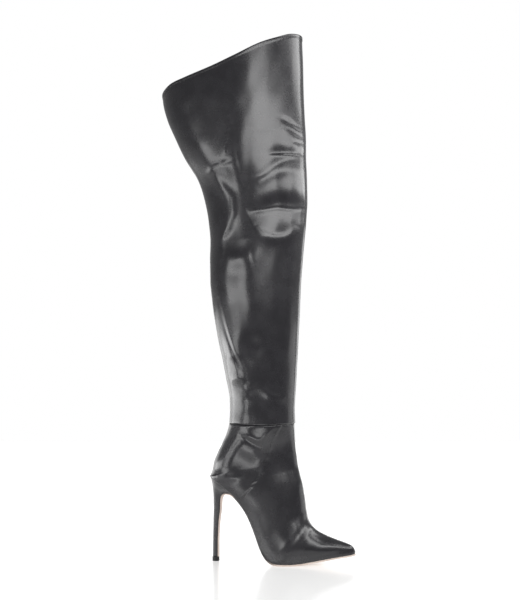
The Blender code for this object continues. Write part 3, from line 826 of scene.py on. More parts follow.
def add_node(
    tree: bpy.types.NodeTree, kind: str, settings: dict | None = None, links: dict | None = None
) -> bpy.types.Node:
    """Adds a shader node with its settings and links.

    Args:
        tree: the node tree.
        kind: the node's type.
        settings: attribute values, or input values where the key is an input's name.
        links: input name to the output socket that feeds it.

    Returns:
        The new node.
    """
    node = tree.nodes.new(kind)
    for key, value in (settings or {}).items():
        if key in node.inputs:
            node.inputs[key].default_value = value
        else:
            setattr(node, key, value)
    for key, socket in (links or {}).items():
        tree.links.new(socket, node.inputs[key])
    return node


def new_material(name: str) -> tuple[bpy.types.Material, bpy.types.NodeTree, bpy.types.Node]:
    """Makes a material with Blender's own main shader.

    Args:
        name: the material's name.

    Returns:
        The material, its node tree and its main shader.
    """
    made = bpy.data.materials.new(name)
    made.use_nodes = True
    return made, made.node_tree, made.node_tree.nodes["Principled BSDF"]


@dataclass(frozen=True)
class Leather:
    """Smooth full-grain leather, dyed through and glazed: a fine pore pattern and a soft gloss.

    colour and worn are sRGB hex codes, the worn one showing on stretched, rubbed places, and
    edge_ink is that of dyed edges, where a piece has the attribute ink. shine is the dyed
    leather's own specular level, and coat the share of glaze over it. The grain of calf is about
    half a millimetre, too fine for the frame, so it is drawn a little coarser and very shallow.
    cloud_mm is the size of the slow clouds in colour and roughness that keep the gloss from
    looking moulded, and wrinkle_mm that of the fine wrinkles between the folds.
    """

    name: str
    colour: str
    worn: str
    roughness: float
    roughness_swing: float
    grain_mm: float
    grain_depth: float
    coat: float
    coat_roughness: float
    wrinkle_depth: float = 0.0
    shine: float = 0.5
    edge_ink: str = ""
    cloud_mm: float = 18.18
    wrinkle_mm: float = 3.846

    def make(self) -> bpy.types.Material:
        """Builds the leather's node tree.

        The clouds mix the two colours and swing the roughness, and the pores and the wrinkles
        are two bumps in a row.

        Returns:
            The material.
        """
        made, tree, shader = new_material(self.name)
        place = add_node(tree, "ShaderNodeTexCoord").outputs["Object"]
        pores = add_node(
            tree, "ShaderNodeTexVoronoi",
            {"Scale": 1 / (self.grain_mm * MM), "Randomness": 1.0, "feature": "SMOOTH_F1"},
            {"Vector": place},
        )
        cloud = add_node(
            tree, "ShaderNodeTexNoise",
            {"Scale": 1 / (self.cloud_mm * MM), "Detail": 3.0, "Roughness": 0.55},
            {"Vector": place},
        )
        fine = add_node(
            tree, "ShaderNodeTexNoise",
            {"Scale": 1 / (self.wrinkle_mm * MM), "Detail": 4.0, "Roughness": 0.6},
            {"Vector": place},
        )
        rubbed = add_node(
            tree, "ShaderNodeMapRange", {"From Min": 0.35, "From Max": 0.75},
            {"Value": cloud.outputs["Fac"]},
        )
        tint = add_node(
            tree, "ShaderNodeMixRGB",
            {"Color1": linear(self.colour), "Color2": linear(self.worn)},
            {"Fac": rubbed.outputs["Result"]},
        )
        if self.edge_ink:
            inked = add_node(tree, "ShaderNodeAttribute", {"attribute_name": "ink"})
            tint = add_node(
                tree, "ShaderNodeMixRGB", {"Color2": linear(self.edge_ink)},
                {"Fac": inked.outputs["Fac"], "Color1": tint.outputs["Color"]},
            )
        tree.links.new(tint.outputs["Color"], shader.inputs["Base Color"])
        gloss = add_node(
            tree, "ShaderNodeMapRange",
            {"From Min": 0.3, "From Max": 0.7, "To Min": self.roughness - self.roughness_swing,
             "To Max": self.roughness + self.roughness_swing},
            {"Value": cloud.outputs["Fac"]},
        )
        tree.links.new(gloss.outputs["Result"], shader.inputs["Roughness"])
        grain = add_node(
            tree, "ShaderNodeBump", {"Strength": 1.0, "Distance": self.grain_depth * MM},
            {"Height": pores.outputs["Distance"]},
        )
        wrinkle = add_node(
            tree, "ShaderNodeBump", {"Strength": 1.0, "Distance": self.wrinkle_depth * MM},
            {"Height": fine.outputs["Fac"], "Normal": grain.outputs["Normal"]},
        )
        tree.links.new(wrinkle.outputs["Normal"], shader.inputs["Normal"])
        shader.inputs["Specular IOR Level"].default_value = self.shine
        shader.inputs["Coat Weight"].default_value = self.coat
        shader.inputs["Coat Roughness"].default_value = self.coat_roughness
        return made


@dataclass(frozen=True)
class Moulded:
    """Moulded rubber or spun thread: one colour with a fine matt tooth.

    tooth_mm: size of the tooth. tooth_depth: its height in mm.
    """

    name: str
    colour: str
    roughness: float
    tooth_mm: float
    tooth_depth: float

    def make(self) -> bpy.types.Material:
        """Builds the node tree: noise of the tooth's size gives a shallow bump.

        Returns:
            The material.
        """
        made, tree, shader = new_material(self.name)
        place = add_node(tree, "ShaderNodeTexCoord").outputs["Object"]
        tooth = add_node(
            tree, "ShaderNodeTexNoise", {"Scale": 1 / (self.tooth_mm * MM), "Detail": 2.0},
            {"Vector": place},
        )
        bump = add_node(
            tree, "ShaderNodeBump", {"Strength": 1.0, "Distance": self.tooth_depth * MM},
            {"Height": tooth.outputs["Fac"]},
        )
        tree.links.new(bump.outputs["Normal"], shader.inputs["Normal"])
        shader.inputs["Base Color"].default_value = linear(self.colour)
        shader.inputs["Roughness"].default_value = self.roughness
        return made


@dataclass(frozen=True)
class StudioSheet:
    """The polished white acrylic the boot stands on, bright enough to burn out to white."""

    name: str = "white acrylic studio sheet"
    colour: str = "#f4f4f3"
    roughness: float = 0.20
    glow: float = 0.34

    def make(self) -> bpy.types.Material:
        """Builds the acrylic: white and polished, with a little light of its own.

        Returns:
            The material.
        """
        made, _, shader = new_material(self.name)
        shader.inputs["Base Color"].default_value = linear(self.colour)
        shader.inputs["Roughness"].default_value = self.roughness
        shader.inputs["Emission Color"].default_value = (1.0, 1.0, 1.0, 1.0)
        shader.inputs["Emission Strength"].default_value = self.glow
        return made


@dataclass(frozen=True)
class Finishes:
    """The materials that the pieces share."""

    calf: bpy.types.Material
    lining: bpy.types.Material
    sole: bpy.types.Material
    rubber: bpy.types.Material
    thread: bpy.types.Material

    @classmethod
    def make(cls) -> "Finishes":
        """Builds every finish once.

        Returns:
            The five finishes.
        """
        return cls(
            # Calf glazed after dyeing: a near-black, slightly violet ground under a clear gloss
            # whose reflections have soft edges.
            calf=Leather(
                name="black glazed calf leather", colour="#1b1a1e", worn="#242327",
                roughness=0.27, roughness_swing=0.03, grain_mm=0.9, grain_depth=0.02,
                coat=0.72, coat_roughness=0.195, wrinkle_depth=0.02, shine=0.3,
            ).make(),
            # Goat skin, left unglazed: a dull brown-black that stays quiet behind the topline.
            lining=Leather(
                name="black goat lining leather", colour="#201d1c", worn="#2a2624",
                roughness=0.55, roughness_swing=0.04, grain_mm=0.7, grain_depth=0.05,
                coat=0.0, coat_roughness=0.3, wrinkle_depth=0.02,
            ).make(),
            # Tanned ox hide, buffed and lightly waxed: a pale flesh tone, with black edge ink
            # round the waist as the attribute says.
            sole=Leather(
                name="nude vegetable-tanned sole leather", colour="#dccdc3", worn="#cfbdb1",
                roughness=0.42, roughness_swing=0.05, grain_mm=0.6, grain_depth=0.03,
                coat=0.1, coat_roughness=0.3, wrinkle_depth=0.03, edge_ink="#141314",
            ).make(),
            # Cast polyurethane: an even, matt black block.
            rubber=Moulded(
                name="black polyurethane top piece", colour="#151515", roughness=0.5,
                tooth_mm=0.8, tooth_depth=0.03,
            ).make(),
            # Bonded nylon: waxy black thread with a dull shine along each stitch.
            thread=Moulded(
                name="black bonded nylon thread", colour="#1b1b1b", roughness=0.45,
                tooth_mm=0.3, tooth_depth=0.05,
            ).make(),
        )


# Sub-assemblies


@dataclass
class Stitching:
    """A row of lockstitches laid on a seam.

    pitch: from stitch to stitch. length and radius: a stitch's own. lift: how far its middle
    stands off the leather. sides: corners of its rings.
    """

    pitch: float = 0.0028
    length: float = 0.0019
    radius: float = 0.00026
    lift: float = 0.00008
    sides: int = 6

    def capsule(self) -> Array:
        """Gives one stitch's points: a pole, three rings and a pole, as (ahead, side, up)."""
        angle = np.tile(np.arange(self.sides) * 2 * math.pi / self.sides, 3)
        along = np.repeat([-0.36, 0.0, 0.36], self.sides) * self.length
        wide = np.repeat([0.8, 1.0, 0.8], self.sides) * self.radius
        rings = np.stack([along, wide * np.cos(angle), wide * np.sin(angle)], axis=1)
        pole = np.array([[0.5 * self.length, 0.0, 0.0]])
        return np.concatenate([-pole, rings, pole])

    def faces(self, count: int) -> list[list[int]]:
        """Numbers the faces of all stitches: each one's own, moved on by its points.

        Args:
            count: how many stitches there are.

        Returns:
            The corner numbers of each face.
        """
        here = np.arange(self.sides)
        there = (here + 1) % self.sides
        first = np.array([[1], [1 + self.sides]])
        quads = np.stack(
            [first + here, first + there, first + self.sides + there, first + self.sides + here],
            axis=-1,
        ).reshape(-1, 4)
        start, last = np.zeros_like(here), np.full_like(here, 1 + 3 * self.sides)
        ring = 1 + 2 * self.sides
        tris = np.concatenate([
            np.stack([start, 1 + there, 1 + here], axis=-1),
            np.stack([ring + here, ring + there, last], axis=-1),
        ])
        steps = np.arange(count)[:, None, None] * (2 + 3 * self.sides)
        return (quads + steps).reshape(-1, 4).tolist() + (tris + steps).reshape(-1, 3).tolist()

    def row(self, name: str, path: Array, normals: Array) -> bpy.types.Object:
        """Makes the stitches of one row as one mesh.

        Each stitch's centre and directions come from the path by length, so all stitches are one
        array: the capsule's points along those directions from each centre.

        Args:
            name: the piece's name.
            path: points along the seam.
            normals: outward normals at those points.

        Returns:
            The row of stitches.
        """
        steps = np.linalg.norm(np.diff(path, axis=0), axis=1)
        length = np.append(0.0, np.cumsum(steps))
        count = int(length[-1] / self.pitch)
        at = (np.arange(count) + 0.5) * length[-1] / count

        def read(values: Array) -> Array:
            """Reads values at the stitches' centres."""
            return np.stack([np.interp(at, length, values[:, axis]) for axis in range(3)], axis=1)

        centre, up = read(path), unit(read(normals))
        ahead = unit(read(np.gradient(path, length, axis=0)))
        side = unit(np.cross(up, ahead))
        up = np.cross(ahead, side)
        axes = np.stack([ahead, side, up], axis=1)
        points = (centre + self.lift * up)[:, None, :] + self.capsule() @ axes
        return make_object(name, points, self.faces(count))


@dataclass
class Shaft:
    """The leather leg: outer and inner panel, lining, and the turned topline edge.

    edge_turn and edge_width: depth and width of the turned lower edge. girth: mean width of a
    panel, for the seam grooves. band_height, band_rise and band_step: the topline band's height,
    thickness and the width of its edge. calm_foot and calm_top: heights over which the creases
    fade at the two ends. stitch_drop: from the topline down to its stitches.
    """

    last: Last
    creases: Creases
    leather: float = 0.0010
    lining: float = 0.0005
    lining_gap: float = 0.0004
    edge_turn: float = 0.0004
    edge_width: float = 0.0008
    girth: float = 0.19
    seam_groove: float = 0.0004
    seam_width: float = 0.0014
    band_height: float = 0.0035
    band_rise: float = 0.00035
    band_step: float = 0.0006
    calm_foot: float = 0.009
    calm_top: float = 0.010
    stitch_drop: float = 0.0048
    rows: int = 340
    outer_cols: int = 130
    inner_cols: int = 80
    lining_rows: int = 200
    lining_cols: int = 141

    def surface(self, around: Array, share: Array, inside: float = 0.0) -> Array:
        """Gives the creased leather's points, or those of a layer inside it.

        The rise along the normal is the creases' own, less near the two ends. The outer face
        also has a rounded groove along each seam, a turned lower edge and the flat band of the
        turned topline.

        Args:
            around: places around the leg.
            share: places up the leg, 0 at the ankle seam and 1 at the topline.
            inside: how far inside the outer face the layer lies, 0 for the outer face.

        Returns:
            The points, row by row up the leg.
        """
        last = self.last
        top = last.topline(around) - 1.2 * inside
        foot = last.ankle_height + last.gap / 2 + last.seam_wave(around)
        at = foot + share[:, None] * (top - foot)[None, :]
        place = last.point(around[None, :], at)
        above, below = at - foot, top[None, :] - at
        to_seam = np.minimum(np.minimum(around, 2 - around), np.abs(around - 1)) * self.girth
        detail = (
            self.band_rise * ease((self.band_height - below) / self.band_step + 0.5)
            - self.edge_turn * np.exp(-((above / self.edge_width) ** 2))
            - self.seam_groove * np.exp(-((to_seam / self.seam_width) ** 2))[None, :]
        )
        rise = self.creases.rise(place)
        rise = rise * ease(above / self.calm_foot) * ease(below / self.calm_top)
        rise = rise + (detail if inside == 0.0 else -inside)
        return place + last.normal(around[None, :], at) * rise[..., None]

    def panel(self, name: str, start: float, end: float, cols: int, rows: int) -> bpy.types.Object:
        """Makes one side's panel as a sheet of leather with its thickness.

        Args:
            name: the piece's name.
            start: place around the leg where it starts.
            end: place where it ends.
            cols: points across it.
            rows: points up it.

        Returns:
            The panel.
        """
        points = self.surface(np.linspace(start, end, cols), np.linspace(0, 1, rows))
        made = make_object(name, points, grid_faces(rows, cols))
        thicken(made, self.leather)
        return made

    def lining_tube(self) -> bpy.types.Object:
        """Makes the lining: the creased surface moved in by the leather, with its thickness.

        Returns:
            The lining.
        """
        around, share = np.linspace(0, 2, self.lining_cols), np.linspace(0, 1, self.lining_rows)
        points = self.surface(around, share, self.leather + self.lining_gap)
        faces = grid_faces(self.lining_rows, self.lining_cols)
        made = make_object("shaft_lining", points, faces, merge=2e-5)
        thicken(made, self.lining)
        return made

    def topline_edge(self) -> bpy.types.Object:
        """Makes the turned edge: a narrow U carried round the topline over leather and lining.

        The U's outline is given as (outwards, upwards) steps in mm from the topline in its own
        section, and repeats along the line as a closed loop.

        Returns:
            The edge.
        """
        around = np.linspace(0, 2, 241)[:-1]
        top = self.last.topline(around)
        outline = np.array([
            (0.42, -3.4), (0.50, -3.0), (0.50, -1.0), (0.42, -0.2), (0.10, 0.28), (-0.55, 0.42),
            (-1.25, 0.28), (-1.62, -0.2), (-1.75, -1.0), (-1.78, -9.0), (-1.70, -9.4),
            (-1.45, -9.4), (-1.40, -1.2), (-0.9, -0.6), (-0.1, -0.6), (0.30, -1.2), (0.30, -3.4),
        ]) * MM
        keys = top[:, None] + outline[None, :, 1]
        points = self.last.point(around[:, None], keys, outline[None, :, 0])
        points = np.concatenate([points, points[:1]])
        return make_object("topline_edge", points, loop_faces(*points.shape[:2], cap=False), True)

    def build(self, finishes: Finishes) -> None:
        """Makes and dresses the shaft's pieces.

        Args:
            finishes: the materials.
        """
        outer = self.panel("shaft_outer_panel", 0.0, 1.0, self.outer_cols, self.rows)
        dress(outer, finishes.calf, "black_leather", "shaft")
        inner = self.panel("shaft_inner_panel", 1.0, 2.0, self.inner_cols, self.rows)
        dress(inner, finishes.calf, "black_leather")
        dress(self.lining_tube(), finishes.lining, "black_leather")
        dress(self.topline_edge(), finishes.calf, "black_leather")
        self.stitch(finishes)

    def stitch(self, finishes: Finishes) -> None:
        """Lays a row of stitches under the topline band.

        Args:
            finishes: the materials.
        """
        around = np.linspace(0.0, 2.0, 300)
        keys = self.last.topline(around) - self.stitch_drop
        path = self.last.point(around, keys, 0.0001)
        ahead = self.last.point(around, keys, 0.0011)
        row = Stitching().row("topline_stitches", path, ahead - path)
        dress(row, finishes.thread, "black_leather")


@dataclass
class Upper:
    """The foot's leather: a vamp, and the heel quarter that laps over it.

    margin: width of the lasting margin. lap: width of the quarter's edge. edge_turn and
    edge_width: depth and width of the turned upper edge. calm_sole and calm_top: distances over
    which the creases fade. seam_reach: how far below the seam its wave is felt. toe_rows: rows
    that close up towards the toe tip. stitch_in: from the quarter's edge to its stitches.
    """

    last: Last
    creases: Creases
    leather: float = 0.0016
    margin: float = 0.009
    cols: int = 170
    rows: int = 190
    toe_rows: int = 12
    lap: float = 0.0007
    edge_turn: float = 0.0004
    edge_width: float = 0.0008
    calm_sole: float = 0.012
    calm_top: float = 0.010
    seam_reach: float = 0.02
    stitch_in: float = 0.0017

    def sunk(self, points: Array, edge: Array) -> Array:
        """Works out how far the vamp lies under the quarter.

        It is the vamp's step before the quarter's edge and nothing behind it, with a steep
        turned edge between them, and fades out towards the sole.

        Args:
            points: points of the foot's surface.
            edge: the sole's edge at each of them.

        Returns:
            The depth in metres.
        """
        ahead = points[..., 0] - self.last.counter_line(points[..., 2])
        reach = np.linalg.norm(points - edge, axis=-1)
        step = self.last.vamp_step * ease(ahead / self.lap + 0.5)
        return step * ease(reach / self.last.vamp_fade)

    def surface(self) -> Array:
        """Gives the upper's points, with the lasting margin's edge first and last in each row.

        The rise along the normal is the creases' own, less near the sole and the ankle seam.
        The margin runs in from the sole's edge by its width, at right angles to the outline.

        Returns:
            The points, row by row from the toe to the ankle seam.
        """
        last = self.last
        around = np.linspace(0, 2, self.cols)
        low = last.stations()["key"][0]
        keys = np.linspace(low, last.ankle_height - last.gap / 2, self.rows)
        early = np.arange(self.toe_rows) / self.toe_rows
        keys[: self.toe_rows] = low + (keys[self.toe_rows] - low) * early**1.5
        near_top = ease((keys - keys[-1] + self.seam_reach) / self.seam_reach)
        at = keys[:, None] + near_top[:, None] * last.seam_wave(around)[None, :]
        place = last.point(around[None, :], at)
        edge = np.where((around <= 1)[None, :, None], place[:, :1], place[:, -1:])
        sunk = self.sunk(place, edge)
        below = (keys[-1] - keys)[:, None]
        turned = self.edge_turn * np.exp(-((below / self.edge_width) ** 2))
        flat = np.maximum(last.read(keys)["outer_flat"], 0.0)[:, None] > 1e-6
        reach = np.where(flat, np.linalg.norm(place - edge, axis=-1), 1.0)
        rise = self.creases.rise(place)
        rise = rise * ease(reach / self.calm_sole) * ease(below / self.calm_top) - turned
        points = last.point(around[None, :], at, -sunk)
        points = points + last.normal(around[None, :], at) * rise[..., None]
        here = last.read(keys)
        under = points[:, [0, -1]].copy()
        steps = np.hypot(np.diff(here["base_x"]), np.diff(here["base_z"]))
        along = np.append(0.0, np.cumsum(steps))
        for end, side, sign in ((0, "outer_flat", -1), (1, "inner_flat", 1)):
            slope = np.gradient(here[side], along)
            inset = np.maximum(here[side] - self.margin * np.hypot(1, slope), 0)
            under[:, end, 1] = here["shift"] + sign * inset
        return np.concatenate([under[:, :1], points, under[:, 1:]], axis=1)

    def build(self, finishes: Finishes) -> None:
        """Makes and dresses the upper and the stitches of the lapped seam.

        Args:
            finishes: the materials.
        """
        points = self.surface()
        made = make_object("upper_leather", points, grid_faces(*points.shape[:2]))
        thicken(made, self.leather)
        dress(made, finishes.calf, "black_leather", "upper")
        self.stitch(finishes)

    def stitch(self, finishes: Finishes) -> None:
        """Lays a row of stitches behind the quarter's edge on each side.

        For each height the place around the section is the one whose X lies on the line, found
        on a fine grid of the surface.

        Args:
            finishes: the materials.
        """
        last = self.last
        keys = np.linspace(last.ankle_height - 0.085, last.ankle_height - 0.003, 60)
        for name, start, end in (("outer", 0.02, 1.0), ("inner", 1.0, 1.98)):
            around = np.linspace(start, end, 240)
            grid = last.point(around[None, :], keys[:, None])
            off = np.abs(grid[..., 0] - last.counter_line(grid[..., 2]) + self.stitch_in)
            best = off.argmin(axis=1)
            good = off.min(axis=1) < 0.0008
            path = grid[np.arange(len(keys)), best][good]
            normal = surface_normals(grid)[np.arange(len(keys)), best][good]
            row = Stitching().row(f"quarter_stitches_{name}", path + normal * 0.0001, normal)
            dress(row, finishes.thread, "black_leather")


@dataclass
class Bottom:
    """What lies under and in the foot: outsole, covered heel, heel tip and insole.

    reveal: how far the sole stands out beyond the upper under the forefoot. waist_inset: how far
    inside it lies in the waist. waist_height: share of the arch's height over which one becomes
    the other. breast_x: X of the heel's lip. stem_front: share of the stem's depth that lies
    before the origin. ink_start and ink_fade: X where the edge ink begins, and the length of its
    fade. seat_row, waist_row, toe_row and insole_rows count sections of FOOT.
    """

    last: Last
    waist_thickness: float = 0.0013
    reveal: float = 0.0008
    waist_inset: float = 0.0022
    waist_height: float = 0.25
    breast_x: float = 0.031
    stem_depth: float = 0.0074
    stem_width: float = 0.0086
    stem_front: float = 0.4
    stem_widest: float = 0.4
    tip_radius: float = 0.0049
    tip_height: float = 0.0062
    tip_sides: int = 64
    insole_thickness: float = 0.0024
    insole_inset: float = 0.0031
    ink_start: float = 0.098
    ink_fade: float = 0.022
    seat_row: int = len(FOOT) - 6
    waist_row: int = 12
    toe_row: int = 2
    insole_rows: tuple[int, int] = (3, len(FOOT) - 8)
    heel_rows: int = 90
    heel_side: int = 32

    def keys(self) -> tuple[float, float]:
        """Finds the heel's lip by its X on the underside line.

        Returns:
            The keys of the heel's lip and of the seat's rear.
        """
        made = self.last.stations()["key"]
        seat = made[self.seat_row]
        spots = np.linspace(made[self.waist_row], seat, 400)
        found = self.last.read(spots)["base_x"]
        order = np.argsort(found)
        return float(np.interp(self.breast_x, found[order], spots[order])), float(seat)

    def heel_lines(self) -> tuple[Array, Array, Array, Array]:
        """Reads the heel's table at even steps, as a smooth curve through its rows.

        Returns:
            (x, z) of the breast, (x, z) of the back, the share of the seat's width that is left,
            and the breast's share of the width, row by row from the seat down.
        """
        rows = columns(HEEL, HEEL_COLUMNS)
        breast_key, seat_key = self.keys()
        breast, seat = (self.last.read(np.array(key)) for key in (breast_key, seat_key))
        front_foot = self.stem_front * self.stem_depth
        back_foot = front_foot - self.stem_depth
        height = self.last.heel_height
        front = np.stack([front_foot + rows["front"] * (breast["base_x"] - front_foot),
                          rows["front_z"] * height], axis=1)
        back = np.stack([back_foot + rows["back"] * (seat["base_x"] - back_foot),
                         rows["back_z"] * height], axis=1)
        seat_front = np.array([[breast["base_x"], breast["base_z"]]])
        seat_back = np.array([[seat["base_x"], seat["base_z"]]])
        foot_z = self.tip_height + 0.5 * self.last.gap
        front = np.concatenate([seat_front, front, [[front_foot, foot_z]]])
        back = np.concatenate([seat_back, back, [[back_foot, foot_z]]])
        shares = np.concatenate([[1.0], rows["half"], [0.0]])
        flats = np.concatenate([[0.96], rows["flat"], rows["flat"][-1:]])
        coarse = np.arange(len(shares), dtype=float)
        fine = np.linspace(0, len(shares) - 1, self.heel_rows)

        def read(values: Array) -> Array:
            """Reads a column of the heel's table at the even steps."""
            return smooth(coarse, values, fine)

        front = np.stack([read(front[:, 0]), read(front[:, 1])], axis=1)
        back = np.stack([read(back[:, 0]), read(back[:, 1])], axis=1)
        return front, back, read(shares), read(flats)

    def heel(self) -> bpy.types.Object:
        """Makes the covered heel.

        Each section runs from a point of the breast to a point of the back. Its half-width
        blends from the seat's outline to the stem's D, and the first row follows the seat line.
        The other side mirrors it in Y, and the two end rows are closed by strips across.

        Returns:
            The heel.
        """
        breast_key, seat_key = self.keys()
        front, back, shares, flats = self.heel_lines()
        turn = np.linspace(0, 1, self.heel_side + 1)
        up, stem_out, _, _ = self.last.section(
            turn, np.array(1.0), np.array(1.0), np.array(flats[-1]), np.array(self.stem_widest),
            np.array(self.last.handle),
        )
        keys = np.linspace(breast_key, seat_key, 400)
        line = self.last.read(keys)
        done = (line["base_x"][0] - line["base_x"]) / (line["base_x"][0] - line["base_x"][-1])
        spots = np.interp(up, done, keys)
        seat = self.last.read(spots)
        wide = seat["outer_flat"].max()
        seat_out = (seat["outer_flat"] + seat["inner_flat"]) / 2
        seat_out[-1] = 0.0
        stem = self.stem_width / 2
        half = stem + shares[:, None] * (wide - stem)
        profile = shares[:, None] * seat_out / wide + (1 - shares[:, None]) * stem_out
        profile[:, 0] = flats
        straight = front[:, None, :] + up[None, :, None] * (back - front)[:, None, :]
        curved = np.stack([seat["base_x"], seat["base_z"]], axis=1)
        bow = (curved - straight[0])[None] * (shares[:, None, None] ** 6)
        place = straight + bow
        place[..., 1] += 0.0003 * (shares[:, None] > 0.999)
        sides = np.stack([place[..., 0], half * profile, place[..., 1]], axis=-1)
        mirrored = sides[:, -2::-1] * np.array([1.0, -1.0, 1.0])
        loop = np.concatenate([sides, mirrored], axis=1)
        rows, count = loop.shape[:2]
        faces = loop_faces(rows, count, cap=False)
        last_row = (rows - 1) * count
        for step in range(self.heel_side):
            other = count - 1 - step
            corners = [step, step + 1, other - 1, other]
            if step == self.heel_side - 1:
                corners.remove(other - 1)
            faces.append(corners)
            faces.append([last_row + corner for corner in corners])
        return make_object("heel_cover", loop, faces, closed=True)

    def ribbon(
        self, name: str, path: Array, near: Array, far: Array, middle: Array, outer: Array,
        inner: Array, round_share: float = 0.35, ink: Array | None = None,
    ) -> bpy.types.Object:
        """Makes a thin piece along a path with rounded long edges.

        Its section is a rectangle whose corners are rounded by a share of the thickness: a
        superellipse in the thickness at each side edge, straight in between.

        Args:
            name: the piece's name.
            path: (x, z) of the foot's underside, row by row from toe to heel.
            near: distance of the near face from the path.
            far: distance of the far face.
            middle: y of the middle line.
            outer: half-width on the outer side.
            inner: half-width on the inner side.
            round_share: how much of the thickness the rounding takes.
            ink: how black the side edges are dyed, row by row, if they are.

        Returns:
            The piece.
        """
        count = 7
        angle = np.linspace(-math.pi / 2, math.pi / 2, count)
        bulge, level = np.cos(angle) ** 0.7, np.sign(np.sin(angle)) * np.abs(np.sin(angle)) ** 0.7
        mid = (np.asarray(near) + far)[:, None] / 2
        half = (np.asarray(far) - near)[:, None] / 2
        cut = 2 * half * round_share
        depth = mid + half * np.concatenate([level, level[::-1]])[None, :]
        wide_outer = -(outer[:, None] - cut * (1 - bulge)[None, :])
        wide_inner = inner[:, None] - cut * (1 - bulge[::-1])[None, :]
        y = middle[:, None] + np.concatenate([wide_outer, wide_inner], axis=1)
        normals = self.away(path)
        x = path[:, 0, None] + normals[:, 0, None] * depth
        z = path[:, 1, None] + normals[:, 1, None] * depth
        points = np.stack([x, y, z], axis=-1)
        made = make_object(name, points, loop_faces(*points.shape[:2]), closed=True)
        if ink is not None:
            side_face = np.concatenate([bulge, bulge[::-1]]) > 0.2
            dyed = (ink[:, None] * side_face[None, :]).ravel()
            layer = made.data.attributes.new("ink", "FLOAT", "POINT")
            layer.data.foreach_set("value", dyed.astype(np.float32))
        return made

    @staticmethod
    def away(path: Array) -> Array:
        """Turns a path's direction from toe to heel by a right angle, away from the shoe."""
        along = unit(np.gradient(path, axis=0))
        return np.stack([-along[:, 1], along[:, 0]], axis=1)

    def inset(self, here: dict[str, Array], side: str, distance: float) -> Array:
        """Moves an outline in at right angles to itself.

        Args:
            here: the sections' columns, row by row.
            side: name of the column with the outline's half-widths.
            distance: how far the new outline lies inside.

        Returns:
            The new half-widths.
        """
        steps = np.hypot(np.diff(here["base_x"]), np.diff(here["base_z"]))
        slope = np.gradient(here[side], np.append(0.0, np.cumsum(steps)))
        return np.maximum(here[side] - distance * np.hypot(1, slope), 1e-4)

    def outsole(self) -> bpy.types.Object:
        """Makes the sole from toe tip to waist and on down the heel's breast.

        It is a ribbon along the underside line and then the breast's line. Its half-widths are
        those of the flat underside, plus the reveal or less the waist's inset, and its side
        edges are inked in the waist.

        Returns:
            The sole.
        """
        last = self.last
        made = last.stations()["key"]
        breast_key, _ = self.keys()
        toe = made[self.toe_row]
        start = made[0] + (toe - made[0]) * np.linspace(0, 1, 12) ** 1.6
        keys = np.append(start, np.linspace(toe, breast_key - 0.001, 150)[1:])
        sole = last.read(keys)
        front, _, shares, flats = self.heel_lines()
        front, shares, flats = front[3:], shares[3:], flats[3:]
        path = np.concatenate([np.stack([sole["base_x"], sole["base_z"]], axis=1), front])
        tread = last.sole_thickness + last.gap
        height = (sole["base_z"] - tread) / (last.heel_height - tread)
        forward = sole["base_x"] > last.heel_back + 0.5 * last.foot_length
        lifted = np.where(forward, 0.0, np.clip(height / self.waist_height, 0, 1))
        reveal = self.reveal - (self.reveal + self.waist_inset) * ease(lifted)
        wide = last.read(np.array(breast_key))["outer_flat"]
        breast_half = (self.stem_width / 2 + shares * (wide - self.stem_width / 2)) * flats
        outer = np.append(sole["outer_flat"] + reveal, breast_half)
        inner = np.append(sole["inner_flat"] + reveal, breast_half)
        thick = last.sole_thickness - (last.sole_thickness - self.waist_thickness) * np.append(
            ease(lifted), np.ones(len(front))
        )
        near = np.full(len(path), last.gap * 0.3)
        middle = np.append(sole["shift"], np.zeros(len(front)))
        waist = ease((self.ink_start - sole["base_x"]) / self.ink_fade)
        ink = np.append(waist, np.zeros(len(front)))
        return self.ribbon(
            "sole_leather", path, near, last.gap + thick, middle, outer, inner, ink=ink
        )

    def insole(self) -> bpy.types.Object:
        """Makes the insole on the lasted margin.

        Returns:
            The insole.
        """
        last = self.last
        made = last.stations()["key"]
        toe, seat = self.insole_rows
        keys = np.linspace(made[toe], made[seat], 120)
        here = last.read(keys)
        path = np.stack([here["base_x"], here["base_z"]], axis=1)
        near = np.full(len(path), -(last.wall + last.gap + self.insole_thickness))
        far = np.full(len(path), -(last.wall + last.gap))
        return self.ribbon(
            "insole_sock", path, near, far, here["shift"],
            self.inset(here, "outer_flat", self.insole_inset),
            self.inset(here, "inner_flat", self.insole_inset),
        )

    def tip(self) -> bpy.types.Object:
        """Makes the heel tip: a short profile turned about the vertical axis.

        Returns:
            The heel tip.
        """
        r, h = self.tip_radius, self.tip_height
        profile = np.array([
            (0.0, 0.0), (r - 0.0006, 0.0), (r - 0.0002, 0.0001), (r, 0.0005), (r, h * 0.5),
            (r, h - 0.0006), (r - 0.0002, h - 0.0002), (r - 0.0007, h), (0.0, h),
        ])
        angle = np.linspace(0, 2 * math.pi, self.tip_sides + 1)[:-1]
        ring = np.stack([np.cos(angle), np.sin(angle), np.zeros(self.tip_sides)], axis=1)
        points = profile[:, 0, None, None] * ring[None] + profile[:, 1, None, None] * [0, 0, 1]
        faces = loop_faces(*points.shape[:2], cap=False)
        return make_object("heel_tip_piece", points, faces, closed=True)

    def build(self, finishes: Finishes) -> None:
        """Makes and dresses the four pieces.

        Args:
            finishes: the materials.
        """
        dress(self.outsole(), finishes.sole, "sole_leather", "outsole")
        dress(self.heel(), finishes.calf, "black_leather", "heel")
        dress(self.tip(), finishes.rubber, "tip_rubber", "heel_tip")
        dress(self.insole(), finishes.lining, "insole_leather", "insole")


# The studio


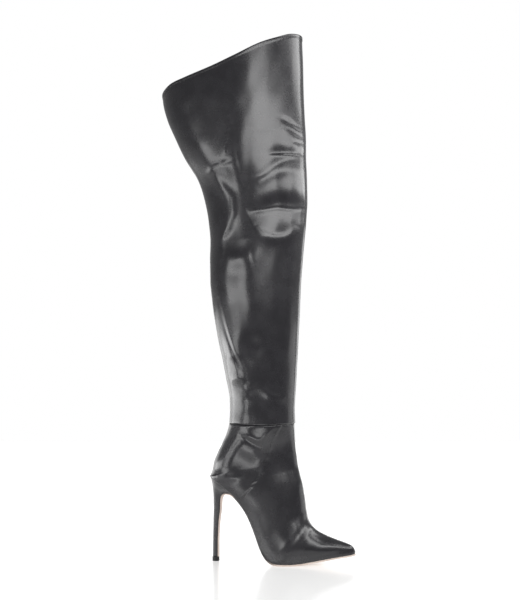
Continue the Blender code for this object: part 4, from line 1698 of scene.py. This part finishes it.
@dataclass(frozen=True)
class SoftLight:
    """A rectangular soft light that faces the boot.

    azimuths: its two sides, in degrees from the camera-side Y axis towards the toe. heights: its
    lower and upper edge in metres. glow: its brightness, white paper being 1. roll: degrees by
    which it leans in its own plane. distance: how far it stands from the leg's axis. leg_axis:
    X of that axis.
    """

    name: str
    azimuths: tuple[float, float]
    heights: tuple[float, float]
    glow: float
    roll: float = 0.0
    distance: float = 1.5
    leg_axis: float = 0.065

    def add(self) -> None:
        """Adds the light, as wide at its distance as its azimuths say."""
        half = math.radians(self.azimuths[1] - self.azimuths[0]) / 2
        angle = math.radians(self.azimuths[0]) + half
        data = bpy.data.lights.new(self.name, "AREA")
        data.shape = "RECTANGLE"
        data.size = 2 * self.distance * math.tan(half)
        data.size_y = self.heights[1] - self.heights[0]
        data.energy = self.glow * math.pi * data.size * data.size_y
        lamp = bpy.data.objects.new(self.name, data)
        lamp.location = (
            self.leg_axis + math.sin(angle) * self.distance,
            -math.cos(angle) * self.distance,
            sum(self.heights) / 2,
        )
        turn = Euler((math.pi / 2, 0.0, angle)).to_matrix()
        lamp.rotation_euler = (turn @ Matrix.Rotation(math.radians(self.roll), 3, "Z")).to_euler()
        bpy.context.scene.collection.objects.link(lamp)


@dataclass(frozen=True)
class FloorCard:
    """A bright card that lies on the floor before the boot, outside the picture.

    across: its two ends, in metres along the foot. depth: its two edges, in metres towards the
    camera side. glow: its brightness, white paper being 1.
    """

    name: str
    across: tuple[float, float]
    depth: tuple[float, float]
    glow: float
    height: float = 0.004

    def add(self) -> None:
        """Adds the card, which shines upwards."""
        data = bpy.data.lights.new(self.name, "AREA")
        data.shape = "RECTANGLE"
        data.size = self.across[1] - self.across[0]
        data.size_y = self.depth[1] - self.depth[0]
        data.energy = self.glow * math.pi * data.size * data.size_y
        lamp = bpy.data.objects.new(self.name, data)
        lamp.location = (sum(self.across) / 2, -sum(self.depth) / 2, self.height)
        lamp.rotation_euler = (math.pi, 0.0, 0.0)
        bpy.context.scene.collection.objects.link(lamp)


# A broad light on the left with low ones beside it, a taller bank on the right that drops towards
# the toe with a dark gap across it, low strips behind that draw the two edges of the leg, and a
# card on the floor.
LIGHTS = (
    SoftLight("left_softbox_outer", (-62, -32), (0.25, 0.44), 5.2),
    SoftLight("left_softbox_inner", (-32, -12), (0.27, 0.50), 5.4),
    SoftLight("left_softbox_low", (-56, -34), (0.0, 0.13), 5.2),
    SoftLight("left_strip_low", (-112, -68), (0.03, 0.22), 4.4, distance=0.8),
    SoftLight("right_softbox_low", (5, 39), (0.505, 0.727), 5.4, distance=1.0),
    SoftLight("right_softbox_1", (14, 39), (0.727, 0.94), 5.6, distance=1.0),
    SoftLight("right_softbox_2", (39, 75), (0.60, 0.84), 5.6, roll=-6.4, distance=1.0),
    SoftLight("right_softbox_3", (75, 112), (0.60, 0.765), 5.6, roll=-6.0, distance=1.0),
    SoftLight("right_softbox_4", (112, 137), (0.60, 0.76), 4.6, roll=-6.0, distance=1.0),
    SoftLight("upper_softbox_1", (62, 97), (1.03, 1.30), 4.0, roll=-11.0, distance=1.0),
    SoftLight("upper_softbox_2", (97, 133), (0.87, 1.20), 4.0, roll=-8.0, distance=1.0),
    SoftLight("rim_strip", (-140, -110), (0.03, 0.30), 1.4, distance=0.8),
    SoftLight("front_rim", (100, 135), (0.05, 0.30), 0.9),
    SoftLight("far_strip", (-210, -150), (0.0, 0.60), 1.3, distance=2.5),
    FloorCard("floor_card", (-0.10, 0.16), (0.36, 0.52), 4.6),
)


@dataclass(frozen=True)
class Studio:
    """Camera, floor, sky and lights.

    floor_near, floor_far and floor_side: the floor's edges, from the origin towards the camera,
    away from it and to each side. The near edge lies just outside the picture, and the floor
    card beyond it. sky: the surroundings' brightness as a light.
    """

    view: View
    floor_near: float = 0.36
    floor_far: float = 2.35
    floor_side: float = 3.0
    sky: float = 0.27

    def camera(self) -> None:
        """Sets the camera level, at the photograph's angle, with its view shifted upwards.

        The lens is as long as the picture's scale at the boot's distance asks.
        """
        view = self.view
        data = bpy.data.cameras.new("camera")
        data.sensor_width = 36.0
        data.lens = view.scale() * data.sensor_width / view.image_height
        data.shift_y = view.lift() / view.image_height
        data.clip_end = 50.0
        eye = bpy.data.objects.new("camera", data)
        eye.location = view.eye()
        eye.rotation_euler = (math.pi / 2, 0.0, math.radians(view.azimuth))
        bpy.context.scene.collection.objects.link(eye)
        bpy.context.scene.camera = eye

    def floor(self) -> None:
        """Lays the white acrylic: a rectangle square to the camera."""
        across, ahead = self.view.axes()
        wide = self.floor_side * np.array([-1, 1, 1, -1])
        near = np.array([self.floor_near, self.floor_near, -self.floor_far, -self.floor_far])
        corners = wide[:, None] * across + near[:, None] * ahead
        floor = make_object("studio_floor", corners, [[0, 1, 2, 3]])
        floor.data.materials.append(StudioSheet().make())

    def sky_light(self) -> None:
        """Makes the surroundings white to the eye and a mild grey as a light."""
        world = bpy.data.worlds.new("studio")
        world.use_nodes = True
        tree = world.node_tree
        shader = tree.nodes["Background"]
        shader.inputs["Color"].default_value = (1.0, 1.0, 1.0, 1.0)
        path = add_node(tree, "ShaderNodeLightPath")
        level = add_node(
            tree, "ShaderNodeMapRange", {"To Min": self.sky, "To Max": 1.0},
            {"Value": path.outputs["Is Camera Ray"]},
        )
        tree.links.new(level.outputs["Result"], shader.inputs["Strength"])
        bpy.context.scene.world = world

    def build(self) -> None:
        """Sets up the studio."""
        bpy.context.scene.view_settings.view_transform = "Standard"
        self.camera()
        self.floor()
        self.sky_light()
        for light in LIGHTS:
            light.add()
            LOG.info("light %s", light.name)


def main() -> None:
    """Builds the boot and the studio in order."""
    logging.basicConfig(level=logging.INFO, format="%(name)s: %(message)s")
    last, view = Last(), View()
    creases = Creases.laid(last, view)
    finishes = Finishes.make()
    Studio(view).build()
    Shaft(last, creases).build(finishes)
    Upper(last, creases).build(finishes)
    Bottom(last).build(finishes)


if __name__ == "__main__":
    main()
